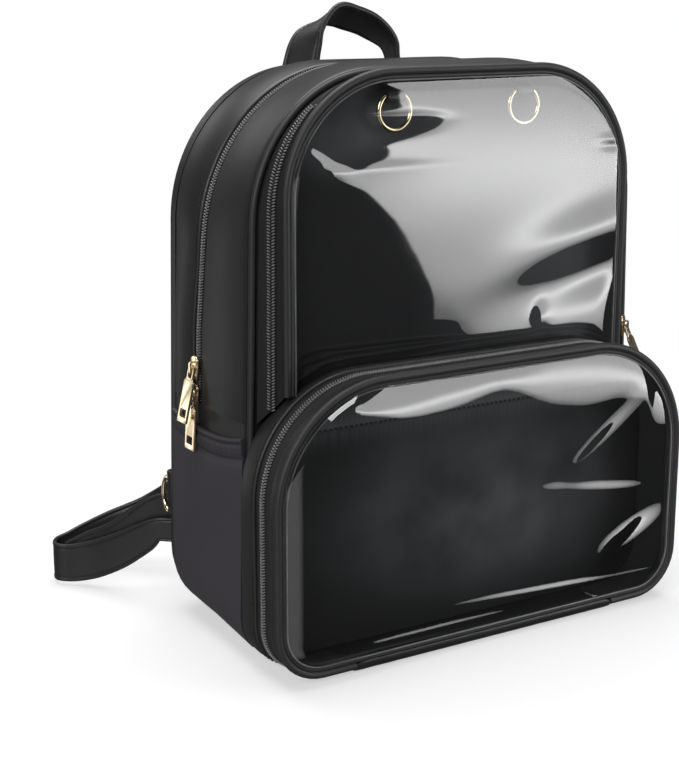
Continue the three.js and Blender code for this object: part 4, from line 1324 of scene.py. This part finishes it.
class BACKPACK_OT_window(Operator):
    """Stretch the clear window and hang its two rings"""

    bl_idname = "backpack.window"
    bl_label = "Window"

    INSET = PIPING + GAP
    # Crest of the sheet's left swell: height and X
    CREST = [
        (182, 4), (190, -2), (198, -9), (202, -14), (211, -20), (222, -26), (233, -31), (245, -36),
        (257, -44), (267, -53), (276, -62), (287, -74), (293, -83), (297, -91), (299.5, -93), (300.5, -86),
        (302, -71), (304, -61), (307.5, -57), (310.5, -58), (313, -63), (315.4, -42), (319.2, -26),
        (325.3, -17), (328.5, -21), (330.5, -30), (332, -42), (335, -50), (340, -51), (352, -50),
    ]
    # Creases of the sheet, as local tilts
    CREASES = [
        (102, 235, 60, 20, -0.30, 13), (59, 188, 6, 12, -0.26, 0), (114, 305, 9, 3, -0.3, 0),
        (-104, 307, 17, 7, 0.16, -27),
    ]
    # The sheet lies flat where its crest crosses this X, and tilts by the rate for each millimetre away
    FLAT_X, TILT_RATE = -47.0, 0.00076
    # Reach of a tilt to the right and the left of the crest, for each unit of it, and the least reach
    REACH_RIGHT, REACH_LEFT, LEAST_REACH = 1500, -1600, 10
    # Roll down to the edges: at the sides, more at the lower right, and above and below
    SIDE_ROLL, LOW_ROLL, END_ROLL = 7, 15, 9
    # How far the sheet swells in all, and more at the lower right
    SWELL, LOW_SWELL = 2.8, 1.6
    # The lower right: its upper edge and the fall to it, its left edge and the run from it
    LOW_TOP, LOW_FALL, LOW_LEFT, LOW_RUN = 240, 55, -20, 90
    # Rings: place of the bar; radius, drop of the middle below the bar, thickness of the wire and points
    RING_X, RING_Z, RING_BEHIND = 48 * MM, 339 * MM, 7 * MM
    RING_RADIUS, RING_DROP, RING_WIRE, RING_STEPS = 11.2 * MM, 8.4 * MM, 1.5 * MM, 36

    def execute(self, context):
        half = WINDOW.width / 2 - self.INSET
        sill = Arch(308.4 * MM, 182 * MM, 74.3 * MM, 30 * MM, 70 * MM)
        relief = Relief(half, sill.top_at, lambda x: WINDOW.top_at(x, self.INSET))
        self.shape(relief)
        piece, area = sheet_piece("window_sheet", relief, WINDOW_Y)
        settle(piece, "window_pvc", slot="clear_pvc")
        2 * half
        area / (2 * half) * 1.12
        for side, sign in SIDES:
            self.ring(side, sign)
        return {"FINISHED"}

    def shape(self, relief):
        """Swells the sheet along its crest, creases it and rolls it down to its edges."""
        crest = through(self.CREST, relief.rows, 5)
        tilt = (self.FLAT_X - crest) * self.TILT_RATE
        off = relief.x - crest[:, None]
        right = np.maximum(self.LEAST_REACH, self.REACH_RIGHT * tilt)
        left = np.maximum(self.LEAST_REACH, self.REACH_LEFT * tilt)
        wide = np.where(off > 0, right[:, None], left[:, None])
        slope = tilt[:, None] * np.exp(-((off / wide) ** 2))
        swell = np.cumsum(slope[:, ::-1], axis=1)[:, ::-1] * relief.STEP
        relief.depth = relief.tilts(self.CREASES) - swell
        relief.soften(3)
        low = eased((self.LOW_TOP - relief.z) / self.LOW_FALL)
        right = (relief.half - relief.x) / (self.SIDE_ROLL + self.LOW_ROLL * low)
        left = (relief.half + relief.x) / self.SIDE_ROLL
        ends = np.minimum(relief.below_high, relief.above_low) / self.END_ROLL
        edge = np.clip(np.minimum(ends, np.minimum(right, left)), 0.0, 1.0)
        corner = low * eased((relief.x - self.LOW_LEFT) / self.LOW_RUN)
        fullness = self.SWELL + self.LOW_SWELL * corner
        relief.depth = (relief.depth - fullness) * (1 - (1 - edge) ** 2)

    def ring(self, side, sign):
        """Gold ring and the leather loop that it hangs from."""
        x, y, z = sign * self.RING_X, WINDOW_Y + self.RING_BEHIND, self.RING_Z
        start = math.asin(self.RING_DROP / self.RING_RADIUS)
        line = [(x, y, z)]
        for i in range(self.RING_STEPS + 1):
            angle = math.pi - start + (math.pi + 2 * start) * i / self.RING_STEPS
            low = z - self.RING_DROP + self.RING_RADIUS * math.sin(angle)
            line.append((x + self.RING_RADIUS * math.cos(angle), y, low))
        mesh = wire(line, self.RING_WIRE)
        piece = to_piece("ring_" + side + "_gold", mesh, finish_of("gold"), ALL_SMOOTH)
        settle(piece, "d_ring_" + side, body="ring_" + side, slot="gold_metal")
        wall = (SEAM_Y - WALL / 2 - GAP) / MM
        bar_y, bar_z, reach = y / MM, z / MM, 2.75
        path = [(wall - 0.8, bar_z + 10), (wall - 1.6, bar_z + 6), (bar_y + 1.0, bar_z + reach + 0.6)]
        path += arc(bar_y, bar_z, reach, (110, 150, 190, 230, 270, 310))
        path += [(bar_y + 3.6, bar_z - 0.6), (wall - 0.9, bar_z + 1.2)]
        route = [((x / MM, py, pz), (1, 0, 0), 12) for py, pz in path]
        loop, _ = ribbon("ring_tab_" + side + "_leather", route, 1.3 * MM, 40)
        settle(loop, "ring_tab_" + side, slot="faux_leather")


class BACKPACK_OT_pocket(Operator):
    """Sew the clear box pocket over the lower front"""

    bl_idname = "backpack.pocket"
    bl_label = "Box pocket"

    INSET = PIPING + GAP
    # Line where the swollen sheet starts to roll back to its upper edge: X and height
    SHOULDER = [
        (-150, 176), (-112, 172), (-100, 164), (-72, 157), (-58, 156), (-38, 157), (-24, 159), (-6, 163),
        (6, 164), (18, 161), (32, 154), (44, 149), (66, 145), (87, 145), (107, 145), (120, 143), (128, 124),
        (150, 120),
    ]
    # How far the sheet swells forward: X and depth
    SWELL = [
        (-150, 6.4), (-122, 8.2), (-100, 7.7), (-70, 6.1), (-40, 4.6), (0, 3.2), (50, 4.0), (100, 5.2),
        (150, 5.0),
    ]
    # Creases of the sheet, as local tilts
    CREASES = [
        (86, 89, 54, 6, 0.2, -8), (82, 122, 34, 9, 0.16, 36), (110, 54, 30, 13, 0.34, 24),
        (0, 17, 150, 5, 0.36, -1.5), (50, 27, 110, 4, 0.34, -2.5),
    ]
    # Roll back to the sides and the foot, with its power; margins where the creases fade out
    SIDE_ROLL, FOOT_ROLL, EDGE_POWER = 14, 12, 0.7
    SIDE_MARGIN, FOOT_MARGIN, TOP_MARGIN = 9, 5, 9
    # Roll above the shoulder: its straight and its curved share, and the curve's power
    STRAIGHT, CURVED, CURVE_POWER = 0.35, 0.65, 2.2
    # Section of the strip under the front edge: depth and height, in millimetres
    BASE = [
        (-49.3, 0.2), (-60, 0.0), (-72, 0.0), (-75, 0.1), (-77.4, 0.7), (-79.0, 2.0), (-79.8, 4.0),
        (-80.0, 6.4), (-79.6, 7.0), (-78.5, 7.0), (-78.0, 6.6), (-77.8, 4.6), (-77.0, 3.2), (-75.2, 2.3),
        (-72, 2.0), (-60, 2.0), (-49.3, 2.0),
    ]
    BASE_STEPS = 80
    # Its folds: depth and pitch; its tucked ends: share, width and how far they go back
    FOLD, FOLD_PITCH, TUCK, TUCK_WIDTH, TUCK_BACK = 0.25, 9 * MM, 0.25, 2.0 * MM, 3
    # Depth where its front begins, and the run over which it is full
    FRONT_FROM, FRONT_RUN = -70, 8
    # Panel inside the pocket: its columns and rows, the height of its seam, and its stitches
    BACK_COLUMNS, BACK_ROWS, BACK_SEAM_Z = 150, 70, 143 * MM
    BACK_STITCH_STEPS, BACK_STITCH_REACH, BACK_STITCH_Y = 120, 0.84, WINDOW_Y + 0.35 * MM
    # Gathers along the seam: pitch, and how far and over what length their spacing wanders
    GATHER_PITCH, GATHER_WANDER, GATHER_LENGTH = 1.1 * MM, 1.5, 9 * MM
    # The seam's groove and the swell below it: height in millimetres and half width
    GROOVE, GROOVE_HALF, GATHER, GATHER_DROP, GATHER_HALF = 1.2, 1.4 * MM, 0.54, 3 * MM, 5 * MM
    BACK_MARGIN, BACK_REAR_Y = 6 * MM, WINDOW_Y + 1.8 * MM

    def execute(self, context):
        rear_y = SEAM_Y - SEAM_PIPING - GAP
        gusset = strip_section(
            rear_y, POCKET_ZIP_REAR, 0.5 * MM, 1.2 * MM, lambda t: pocket_rear(1 - t), steps=14
        )
        rings = sweep(gusset, pocket_at, whole, swell=soft(0.4 * MM, 50 * MM, 31.0))
        sew("pocket_gusset", "leather", rings, loop=True)
        band = strip_section(
            POCKET_ZIP_FRONT, POCKET_BAND_FRONT, 0.2 * MM, 1.1 * MM, lambda t: None, steps=10
        )
        rings = sweep(band, pocket_at, whole)
        piece = skin("pocket_band_leather", rings, finish_of("leather"), loop=True)
        settle(piece, "pocket_front_band", slot="faux_leather")
        self.base_strip()
        self.sheet()
        self.back()
        lines = [
            seam_line(pocket_at, POCKET_ZIP_REAR + 2.4 * MM, 0.45 * MM, foot_to_foot),
            seam_line(pocket_at, POCKET_ZIP_FRONT - 2.2 * MM, 0.15 * MM, foot_to_foot),
        ]
        stitches("pocket_zip_stitches", lines)
        return {"FINISHED"}

    def base_strip(self):
        """Proud leather strip under the pocket's front edge, with small folds and tucked ends."""
        end = STRIP_HALF - GAP
        rings = []
        for i in range(self.BASE_STEPS + 1):
            x = mix(-end, end, i / self.BASE_STEPS)
            fold = self.FOLD * noise.noise(Vector((x / self.FOLD_PITCH, 5.0, 0.0)))
            tuck = self.TUCK * bump(min(end - x, x + end), self.TUCK_WIDTH)
            ring = []
            for y, z in self.BASE:
                front = clamp((self.FRONT_FROM - y) / self.FRONT_RUN)
                back = front * (fold + self.TUCK_BACK * tuck)
                ring.append(Vector((x, (y + back) * MM, z * (1 - front * tuck) * MM)))
            rings.append(ring)
        sew("pocket_base_strip", "leather", rings, sharp=50.0)

    def sheet(self):
        """Bulging clear front."""
        shape = pocket_at(POCKET_Y)
        half = shape.width / 2 - self.INSET
        relief = Relief(half, lambda x: shape.foot_at(x, self.INSET), lambda x: shape.top_at(x, self.INSET))
        self.shape(relief)
        piece, area = sheet_piece("pocket_sheet", relief, POCKET_Y)
        settle(piece, "pocket_pvc", slot="clear_pvc")
        2 * half
        area / (2 * half) * 1.08

    def shape(self, relief):
        """Swells the sheet forward, rolls it back to its edges and creases it."""
        shoulder = np.minimum(through(self.SHOULDER, relief.columns, 10), relief.highs - 6)
        swell = through(self.SWELL, relief.columns, 20)
        t = np.clip((relief.z - shoulder) / (relief.highs - shoulder), 0.0, 1.0)
        side = relief.half - np.abs(relief.x)
        foot, top = relief.above_low, relief.below_high
        edge = (eased(side / self.SIDE_ROLL) * eased(foot / self.FOOT_ROLL)) ** self.EDGE_POWER
        inside = eased(side / self.SIDE_MARGIN) * eased(foot / self.FOOT_MARGIN)
        inside *= eased(top / self.TOP_MARGIN)
        roll = 1 - self.STRAIGHT * t - self.CURVED * t ** self.CURVE_POWER
        relief.depth = relief.tilts(self.CREASES) * inside - swell * roll * edge
        relief.soften(2)

    def back(self):
        """Panel inside the pocket, with a gathered seam across its upper part."""
        inset = TAPE_INSET + TAPE_THICKNESS + GAP
        shape = pocket_at(WINDOW_Y)
        half = shape.width / 2 - inset

        def low(x):
            return shape.foot_at(x, inset)

        def high(x):
            return shape.top_at(x, inset)

        def depth(x, z):
            wander = self.GATHER_WANDER * math.sin(x / self.GATHER_LENGTH)
            gather = self.GATHER * (1 + math.sin(x / self.GATHER_PITCH + wander))
            above = z - self.BACK_SEAM_Z
            dip = self.GROOVE * bump(above, self.GROOVE_HALF)
            dip -= gather * bump(above + self.GATHER_DROP, self.GATHER_HALF)
            side, end = half - abs(x), min(z - low(x), high(x) - z)
            return dip * MM * clamp(side / self.BACK_MARGIN) * clamp(end / self.BACK_MARGIN)

        levels = []
        for row in grid(half, low, high, self.BACK_COLUMNS, self.BACK_ROWS):
            front = [Vector((x, WINDOW_Y + depth(x, z), z)) for x, z in row]
            levels.append(front + [Vector((x, self.BACK_REAR_Y, z)) for x, z in reversed(row)])
        sew("pocket_back", "cloth", levels, "pocket_lining", sharp=CLOTH_SHARP, folded=True)
        reach = self.BACK_STITCH_REACH * half
        line = []
        for i in range(self.BACK_STITCH_STEPS + 1):
            x = mix(-reach, reach, i / self.BACK_STITCH_STEPS)
            line.append((Vector((x, self.BACK_STITCH_Y, self.BACK_SEAM_Z)), Vector((0, -1, 0))))
        stitches("pocket_back_stitches", [line])


class BACKPACK_OT_straps(Operator):
    """Sew the handle, the shoulder straps and what holds them"""

    bl_idname = "backpack.straps"
    bl_label = "Handle and straps"

    # Rows of the handle: X, height and direction of its width; its depth, width and where its stitches end
    HANDLE = [
        (-50.5, 350, (-14, 22, -3)), (-46.5, 365, (-10, 22, -2)), (-41, 375, (-5, 22, -5)),
        (-26, 384.5, (0, 22, -13)), (-12, 382, (5, 22, -15)), (2.5, 376.5, (5, 22, -14)),
        (17, 364.5, (7, 22, -9)), (22, 350, (7, 22, -1)),
    ]
    HANDLE_Y, HANDLE_WIDTH, HANDLE_SEWN = 69.5, 26, 356 * MM
    # Rows of the shoulder strap: centre, direction of its width, and width
    STRAP = [
        ((112, 81.4, 47), (0.2, 0, 1), 22), ((126, 84.5, 48), (0, 0, 1), 20),
        ((138, 92.5, 47), (0, 0, 1), 17), ((147, 100.5, 46), (0, 0, 1), 16),
        ((153, 107, 40), (0, 0, 1), 21), ((166, 122, 28), (0, 0, 1), 25),
        ((179, 138, 19), (0, 0, 1), 27), ((190, 150, 15.2), (0, 0, 1), 27),
        ((196, 158, 15), (0, 0, 1), 27), ((192, 168, 15.2), (0, 0, 1), 27),
        ((176, 174, 17), (0, 0, 1), 27), ((150, 170, 26), (0, 0.1, 1), 27),
        ((122, 156, 39), (0.2, 0.3, 1), 27), ((98, 132, 66), (0.7, 0.3, 0.6), 27),
        ((84, 110, 112), (1, 0.1, 0.2), 27), ((70, 95, 175), (1, 0, 0.1), 27),
        ((54, 86, 250), (1, 0, 0.1), 27), ((43, 81, 306), (1, 0, 0), 27),
        ((40.6, 79.2, 320), (1, 0, 0), 27),
    ]
    # Rows of the layer that is folded through the ring
    TAIL = [
        ((186, 151, 17.5), (0, 0, 1), 26), ((176, 141, 25), (0, 0, 1), 27),
        ((163, 125, 35), (0, 0, 1), 27), ((151, 111.5, 50), (0, 0, 1), 25),
        ((144.5, 104.5, 58), (0, 0, 1), 22), ((139.5, 98.5, 63.5), (0, 0, 1), 17),
        ((134, 92.5, 67), (0, 0, 1), 15), ((126, 88.6, 69), (0, 0, 1), 16),
        ((116, 84.6, 69), (0, 0, 1), 18),
    ]
    # Strap rings: place, half width, half height, thickness of the wire and points
    RING_X, RING_Y, RING_Z = 141 * MM, BACK_Y + 13 * MM, 73 * MM
    RING_WIDE, RING_TALL, RING_WIRE, RING_STEPS = 8 * MM, 12 * MM, 1.5 * MM, 40
    # Patch on the back: half width, lower and upper edge, and its padding as share of its size and height
    PATCH_HALF, PATCH_LOW, PATCH_HIGH = 62 * MM, 315 * MM, 344 * MM
    PATCH_SEAM, PATCH_SEAM_OUT = 0.92, 2.05 * MM
    PADDING = [
        (1.0, 0.3), (1.0, 1.6), (0.99, 2.2), (0.96, 2.4), (PATCH_SEAM, 2.0), (0.86, 2.5), (0.5, 2.7),
        (0.02, 2.7),
    ]

    def execute(self, context):
        route = [((x, self.HANDLE_Y, z), across, self.HANDLE_WIDTH) for x, z, across in self.HANDLE]
        piece, lines = ribbon("handle_leather", route, 3 * MM, 96)
        settle(piece, "handle", slot="faux_leather")
        lines = [[spot for spot in line if spot[0].z > self.HANDLE_SEWN] for line in lines]
        for side, sign in SIDES:
            lines += self.strap(side, sign)
            self.anchor(side, sign)
        lines += self.patch()
        stitches("strap_stitches", lines)
        return {"FINISHED"}

    def strap(self, side, sign):
        """Shoulder strap of one side and the layer folded through its ring."""
        def turned(rows):
            return [((sign * c[0], c[1], c[2]), (sign * a[0], a[1], a[2]), w) for c, a, w in rows]

        piece, lines = ribbon("strap_" + side + "_leather", turned(self.STRAP), 2.4 * MM, 190)
        settle(piece, "strap_" + side, slot="faux_leather")
        tail, more = ribbon("strap_tail_" + side, turned(self.TAIL), 2.2 * MM, 90)
        settle(tail, slot="faux_leather")
        return lines + more

    def anchor(self, side, sign):
        """Gold ring near a lower corner of the back, and the folded tab that holds it."""
        line = []
        for a in turns(self.RING_STEPS):
            y, z = self.RING_Y + self.RING_WIDE * math.cos(a), self.RING_Z + self.RING_TALL * math.sin(a)
            line.append((sign * self.RING_X, y, z))
        mesh = wire(line, self.RING_WIRE)
        ring = to_piece("strap_ring_" + side + "_gold", mesh, finish_of("gold"), ALL_SMOOTH)
        settle(ring, "strap_ring_" + side, slot="gold_metal")
        path = [(111, 79.6), (118, 80.2), (127, 82.6), (134, 86.0)]
        path += arc(141, 83, 3.2, (70, 30, -10, -50, -90, -120))
        path += [(136, 79.6), (128, 79.3)]
        route = [((sign * x, y, 78), (0, 0, 1), 28) for x, y in path]
        tab, _ = ribbon("anchor_tab_" + side + "_leather", route, 2.0 * MM, 60)
        settle(tab, "anchor_tab_" + side, slot="faux_leather")

    def patch(self):
        """Padded patch over the straps' upper ends; gives back the line of its stitches."""
        corners = box_outline(-self.PATCH_HALF, self.PATCH_HALF, self.PATCH_LOW, self.PATCH_HIGH)
        outline = [Vector(p) for p in rounded(corners, 6 * MM, 6)]
        middle = Vector((0.0, (self.PATCH_LOW + self.PATCH_HIGH) / 2))

        def ring(scale, out):
            flat = [middle + (p - middle) * scale for p in outline]
            return [Vector((p.x, BACK_Y + out, p.y)) for p in flat]

        sew("strap_patch", "leather", [ring(scale, out * MM) for scale, out in self.PADDING])
        line = [(p, Vector((0, 1, 0))) for p in ring(self.PATCH_SEAM, self.PATCH_SEAM_OUT)]
        return [line + line[:1]]


class BACKPACK_OT_hardware(Operator):
    """Cast the zip sliders and their pulls"""

    bl_idname = "backpack.hardware"
    bl_label = "Zip hardware"

    HINGE_OUT = 3.9 * MM
    # Slider, pull, body, hinge, outward direction and the pull's lean in degrees
    ROWS = [
        ("main_slider_upper", "main_pull_upper", "upper_pull", (-148.5945, 36, 172), (-1, 0, 0), 13),
        ("main_slider_lower", "main_pull_lower", "lower_pull", (-149.0326, 36, 154.5), (-1, 0, 0), 4),
        ("window_slider", "window_pull", "window_pull", (136.0591, -41.726, 181), (0.56481, -0.82522, 0), 24),
    ]

    def execute(self, context):
        gold = finish_of("gold")
        for slider, pull, body, hinge, out, lean in self.ROWS:
            outward_axis, up = Vector(out), Vector((0, 0, 1))
            across = up.cross(outward_axis)
            basis = Matrix((outward_axis, across, up)).transposed().to_4x4()
            place = Matrix.Translation(Vector(hinge) * MM) @ basis
            mesh = pull_mesh()
            mesh.transform(place @ Matrix.Rotation(math.radians(-lean), 4, "Y"))
            settle(to_piece(pull + "_gold", mesh, gold, METAL_SHARP), pull, body=body, slot="gold_metal")
            mesh = slider_mesh()
            mesh.transform(place @ Matrix.Translation((-self.HINGE_OUT, 0, 0)))
            settle(to_piece(slider + "_gold", mesh, gold, METAL_SHARP), slider, slot="gold_metal")
        return {"FINISHED"}


class BACKPACK_OT_stage(Operator):
    """Set the camera, the pale floor and the soft lights"""

    bl_idname = "backpack.stage"
    bl_label = "Stage"

    # Camera: sensor in millimetres, focal length and longer side in pixels, place, tilt and turn in degrees
    SENSOR, FOCAL, LONG_SIDE = 36.0, 1593.3, 757
    CAMERA, CAMERA_TILT, CAMERA_TURN = (-0.5738, -0.8324, 0.4037), 76.081, -31.525
    # Soft lights: name, place, the point it faces, width, height and power
    LIGHTS = [
        ("overhead", (0.0, 0.25, 1.75), (0.0, 0.05, 0.2), 1.5, 1.3, 36.0),
        ("card", (0.884, -0.862, 0.4425), (0.1988, -0.1336, 0.4425), 0.648, 1.115, 15.4),
        ("left", (-1.5, -1.0, 1.0), (-0.1, 0.0, 0.2), 0.9, 0.9, 20.0),
        ("rear", (-0.715, 1.08, 0.01), (-0.155, 0.036, 0.15), 0.22, 0.34, 0.38),
        ("metal", (-0.72, 1.1, 0.03), (-0.155, 0.036, 0.15), 0.6, 0.7, 1.0),
        ("behind", (-0.40, 1.45, 1.0), (-0.1, 0.03, 0.3), 0.8, 0.5, 1.9),
    ]
    # The left light leaves out the clear sheets, and one card lights the metal alone
    APART = {"left": "clear_pvc", "metal": "gold_metal"}
    # The near floor throws light back at the bag, the far floor only closes the view
    NEAR, FAR, FLOOR_POINTS, FLOOR_Z = 0.42, 6.0, 72, -0.9 * MM
    # The card's bright band: its middle height and half width, and the heights where the card's foot fades
    BAND, BAND_HALF, FOOT_FROM, FOOT_TO = 0.165, 0.075, -0.115, 0.035

    def execute(self, context):
        scene = context.scene
        scene.view_settings.view_transform = "Standard"
        lens = bpy.data.cameras.new("camera")
        lens.sensor_width = self.SENSOR
        lens.lens = self.SENSOR * self.FOCAL / self.LONG_SIDE
        camera = bpy.data.objects.new("camera", lens)
        camera.location = self.CAMERA
        camera.rotation_euler = (math.radians(self.CAMERA_TILT), 0.0, math.radians(self.CAMERA_TURN))
        scene.collection.objects.link(camera)
        scene.camera = camera

        near = self.floor("floor_near", [self.NEAR])
        far = self.floor("floor_far", [self.NEAR, self.FAR])
        near.visible_glossy = far.visible_glossy = far.visible_diffuse = False

        for name, place, target, width, height, power in self.LIGHTS:
            lamp = bpy.data.lights.new(name, "AREA")
            lamp.shape = "RECTANGLE"
            lamp.size, lamp.size_y, lamp.energy = width, height, power
            holder = bpy.data.objects.new(name, lamp)
            holder.location = place
            toward = Vector(target) - Vector(place)
            holder.rotation_euler = toward.to_track_quat("-Z", "Y").to_euler()
            holder.visible_camera = False
            scene.collection.objects.link(holder)
            if name == "card":
                self.brighten(lamp)
            if name in self.APART:
                holder.light_linking.receiver_collection = lit_group(self.APART[name])
        self.sky(scene)
        return {"FINISHED"}

    def floor(self, name, radii):
        """Round floor, or a ring of it between two radii."""
        count = self.FLOOR_POINTS
        points = [(r * math.cos(a), r * math.sin(a), self.FLOOR_Z) for r in radii for a in turns(count)]
        ring = [(i, count + i, count + (i + 1) % count, (i + 1) % count) for i in range(count)]
        mesh = bpy.data.meshes.new(name)
        mesh.from_pydata(points, [], ring if len(radii) > 1 else [tuple(range(count))])
        mesh.materials.append(finish_of("floor"))
        floor = bpy.data.objects.new(name, mesh)
        bpy.context.scene.collection.objects.link(floor)
        return floor

    def brighten(self, lamp):
        """Makes a card brightest in a band at one height, and dim at its foot."""
        finish = Finish(lamp)
        height = finish.axes(finish.node("ShaderNodeNewGeometry", output="Position"))[2]
        band = finish.bell((height - self.BAND) / self.BAND_HALF)
        foot = finish.step(height, self.FOOT_FROM, self.FOOT_TO, 0.3)
        light = finish.node("ShaderNodeEmission", None, {"Strength": (band * 0.5 + 0.5) * foot})
        finish.surface(light, "ShaderNodeOutputLight")

    def sky(self, scene):
        """White backdrop: dim in front of the bag, brighter behind it and low on its left."""
        scene.world = bpy.data.worlds.new("studio")
        finish = Finish(scene.world)
        x, y, z = finish.axes(finish.node("ShaderNodeTexCoord", output="Generated"))
        low_left = finish.step(x, -0.25, -0.6) * finish.step(y, 0.1, -0.3) * finish.step(z, -0.05, -0.2) * 0.7
        strength = finish.step(y, -0.25, 0.9, 0.04, 0.14) + low_left
        glow = finish.node("ShaderNodeBackground", None, {"Color": WHITE, "Strength": strength})
        white = finish.node("ShaderNodeBackground", None, {"Color": WHITE})
        seen = finish.node("ShaderNodeLightPath", output="Is Camera Ray")
        finish.surface(finish.blend(seen, glow, white), "ShaderNodeOutputWorld")


class BACKPACK_PT_panel(Panel):
    """Lists the pieces, sizes and colours"""

    bl_idname = "BACKPACK_PT_panel"
    bl_label = "Backpack"
    bl_space_type = "VIEW_3D"
    bl_region_type = "UI"
    bl_category = "Backpack"

    def draw(self, context):
        layout = self.layout
        for operator in OPERATORS:
            layout.operator(operator.bl_idname)
        for group in (context.scene.backpack_sizes, context.scene.backpack_colours):
            box = layout.box()
            for name in group.__annotations__:
                box.prop(group, name)


OPERATORS = (
    BACKPACK_OT_stage,
    BACKPACK_OT_shell,
    BACKPACK_OT_side_pockets,
    BACKPACK_OT_zips,
    BACKPACK_OT_piping,
    BACKPACK_OT_window,
    BACKPACK_OT_pocket,
    BACKPACK_OT_straps,
    BACKPACK_OT_hardware,
)
CLASSES = (BackpackSizes, BackpackColours, *OPERATORS, BACKPACK_PT_panel)


def register():
    """Registers the classes and their settings."""
    for item in CLASSES:
        bpy.utils.register_class(item)
    bpy.types.Scene.backpack_sizes = PointerProperty(type=BackpackSizes)
    bpy.types.Scene.backpack_colours = PointerProperty(type=BackpackColours)


def unregister():
    """Removes the settings and the classes."""
    del bpy.types.Scene.backpack_colours
    del bpy.types.Scene.backpack_sizes
    for item in reversed(CLASSES):
        bpy.utils.unregister_class(item)


def main():
    """Builds every piece."""
    register()
    bpy.ops.backpack.stage()
    bpy.ops.backpack.shell()
    bpy.ops.backpack.side_pockets()
    bpy.ops.backpack.zips()
    bpy.ops.backpack.piping()
    bpy.ops.backpack.window()
    bpy.ops.backpack.pocket()
    bpy.ops.backpack.straps()
    bpy.ops.backpack.hardware()


if __name__ == "__main__":
    main()
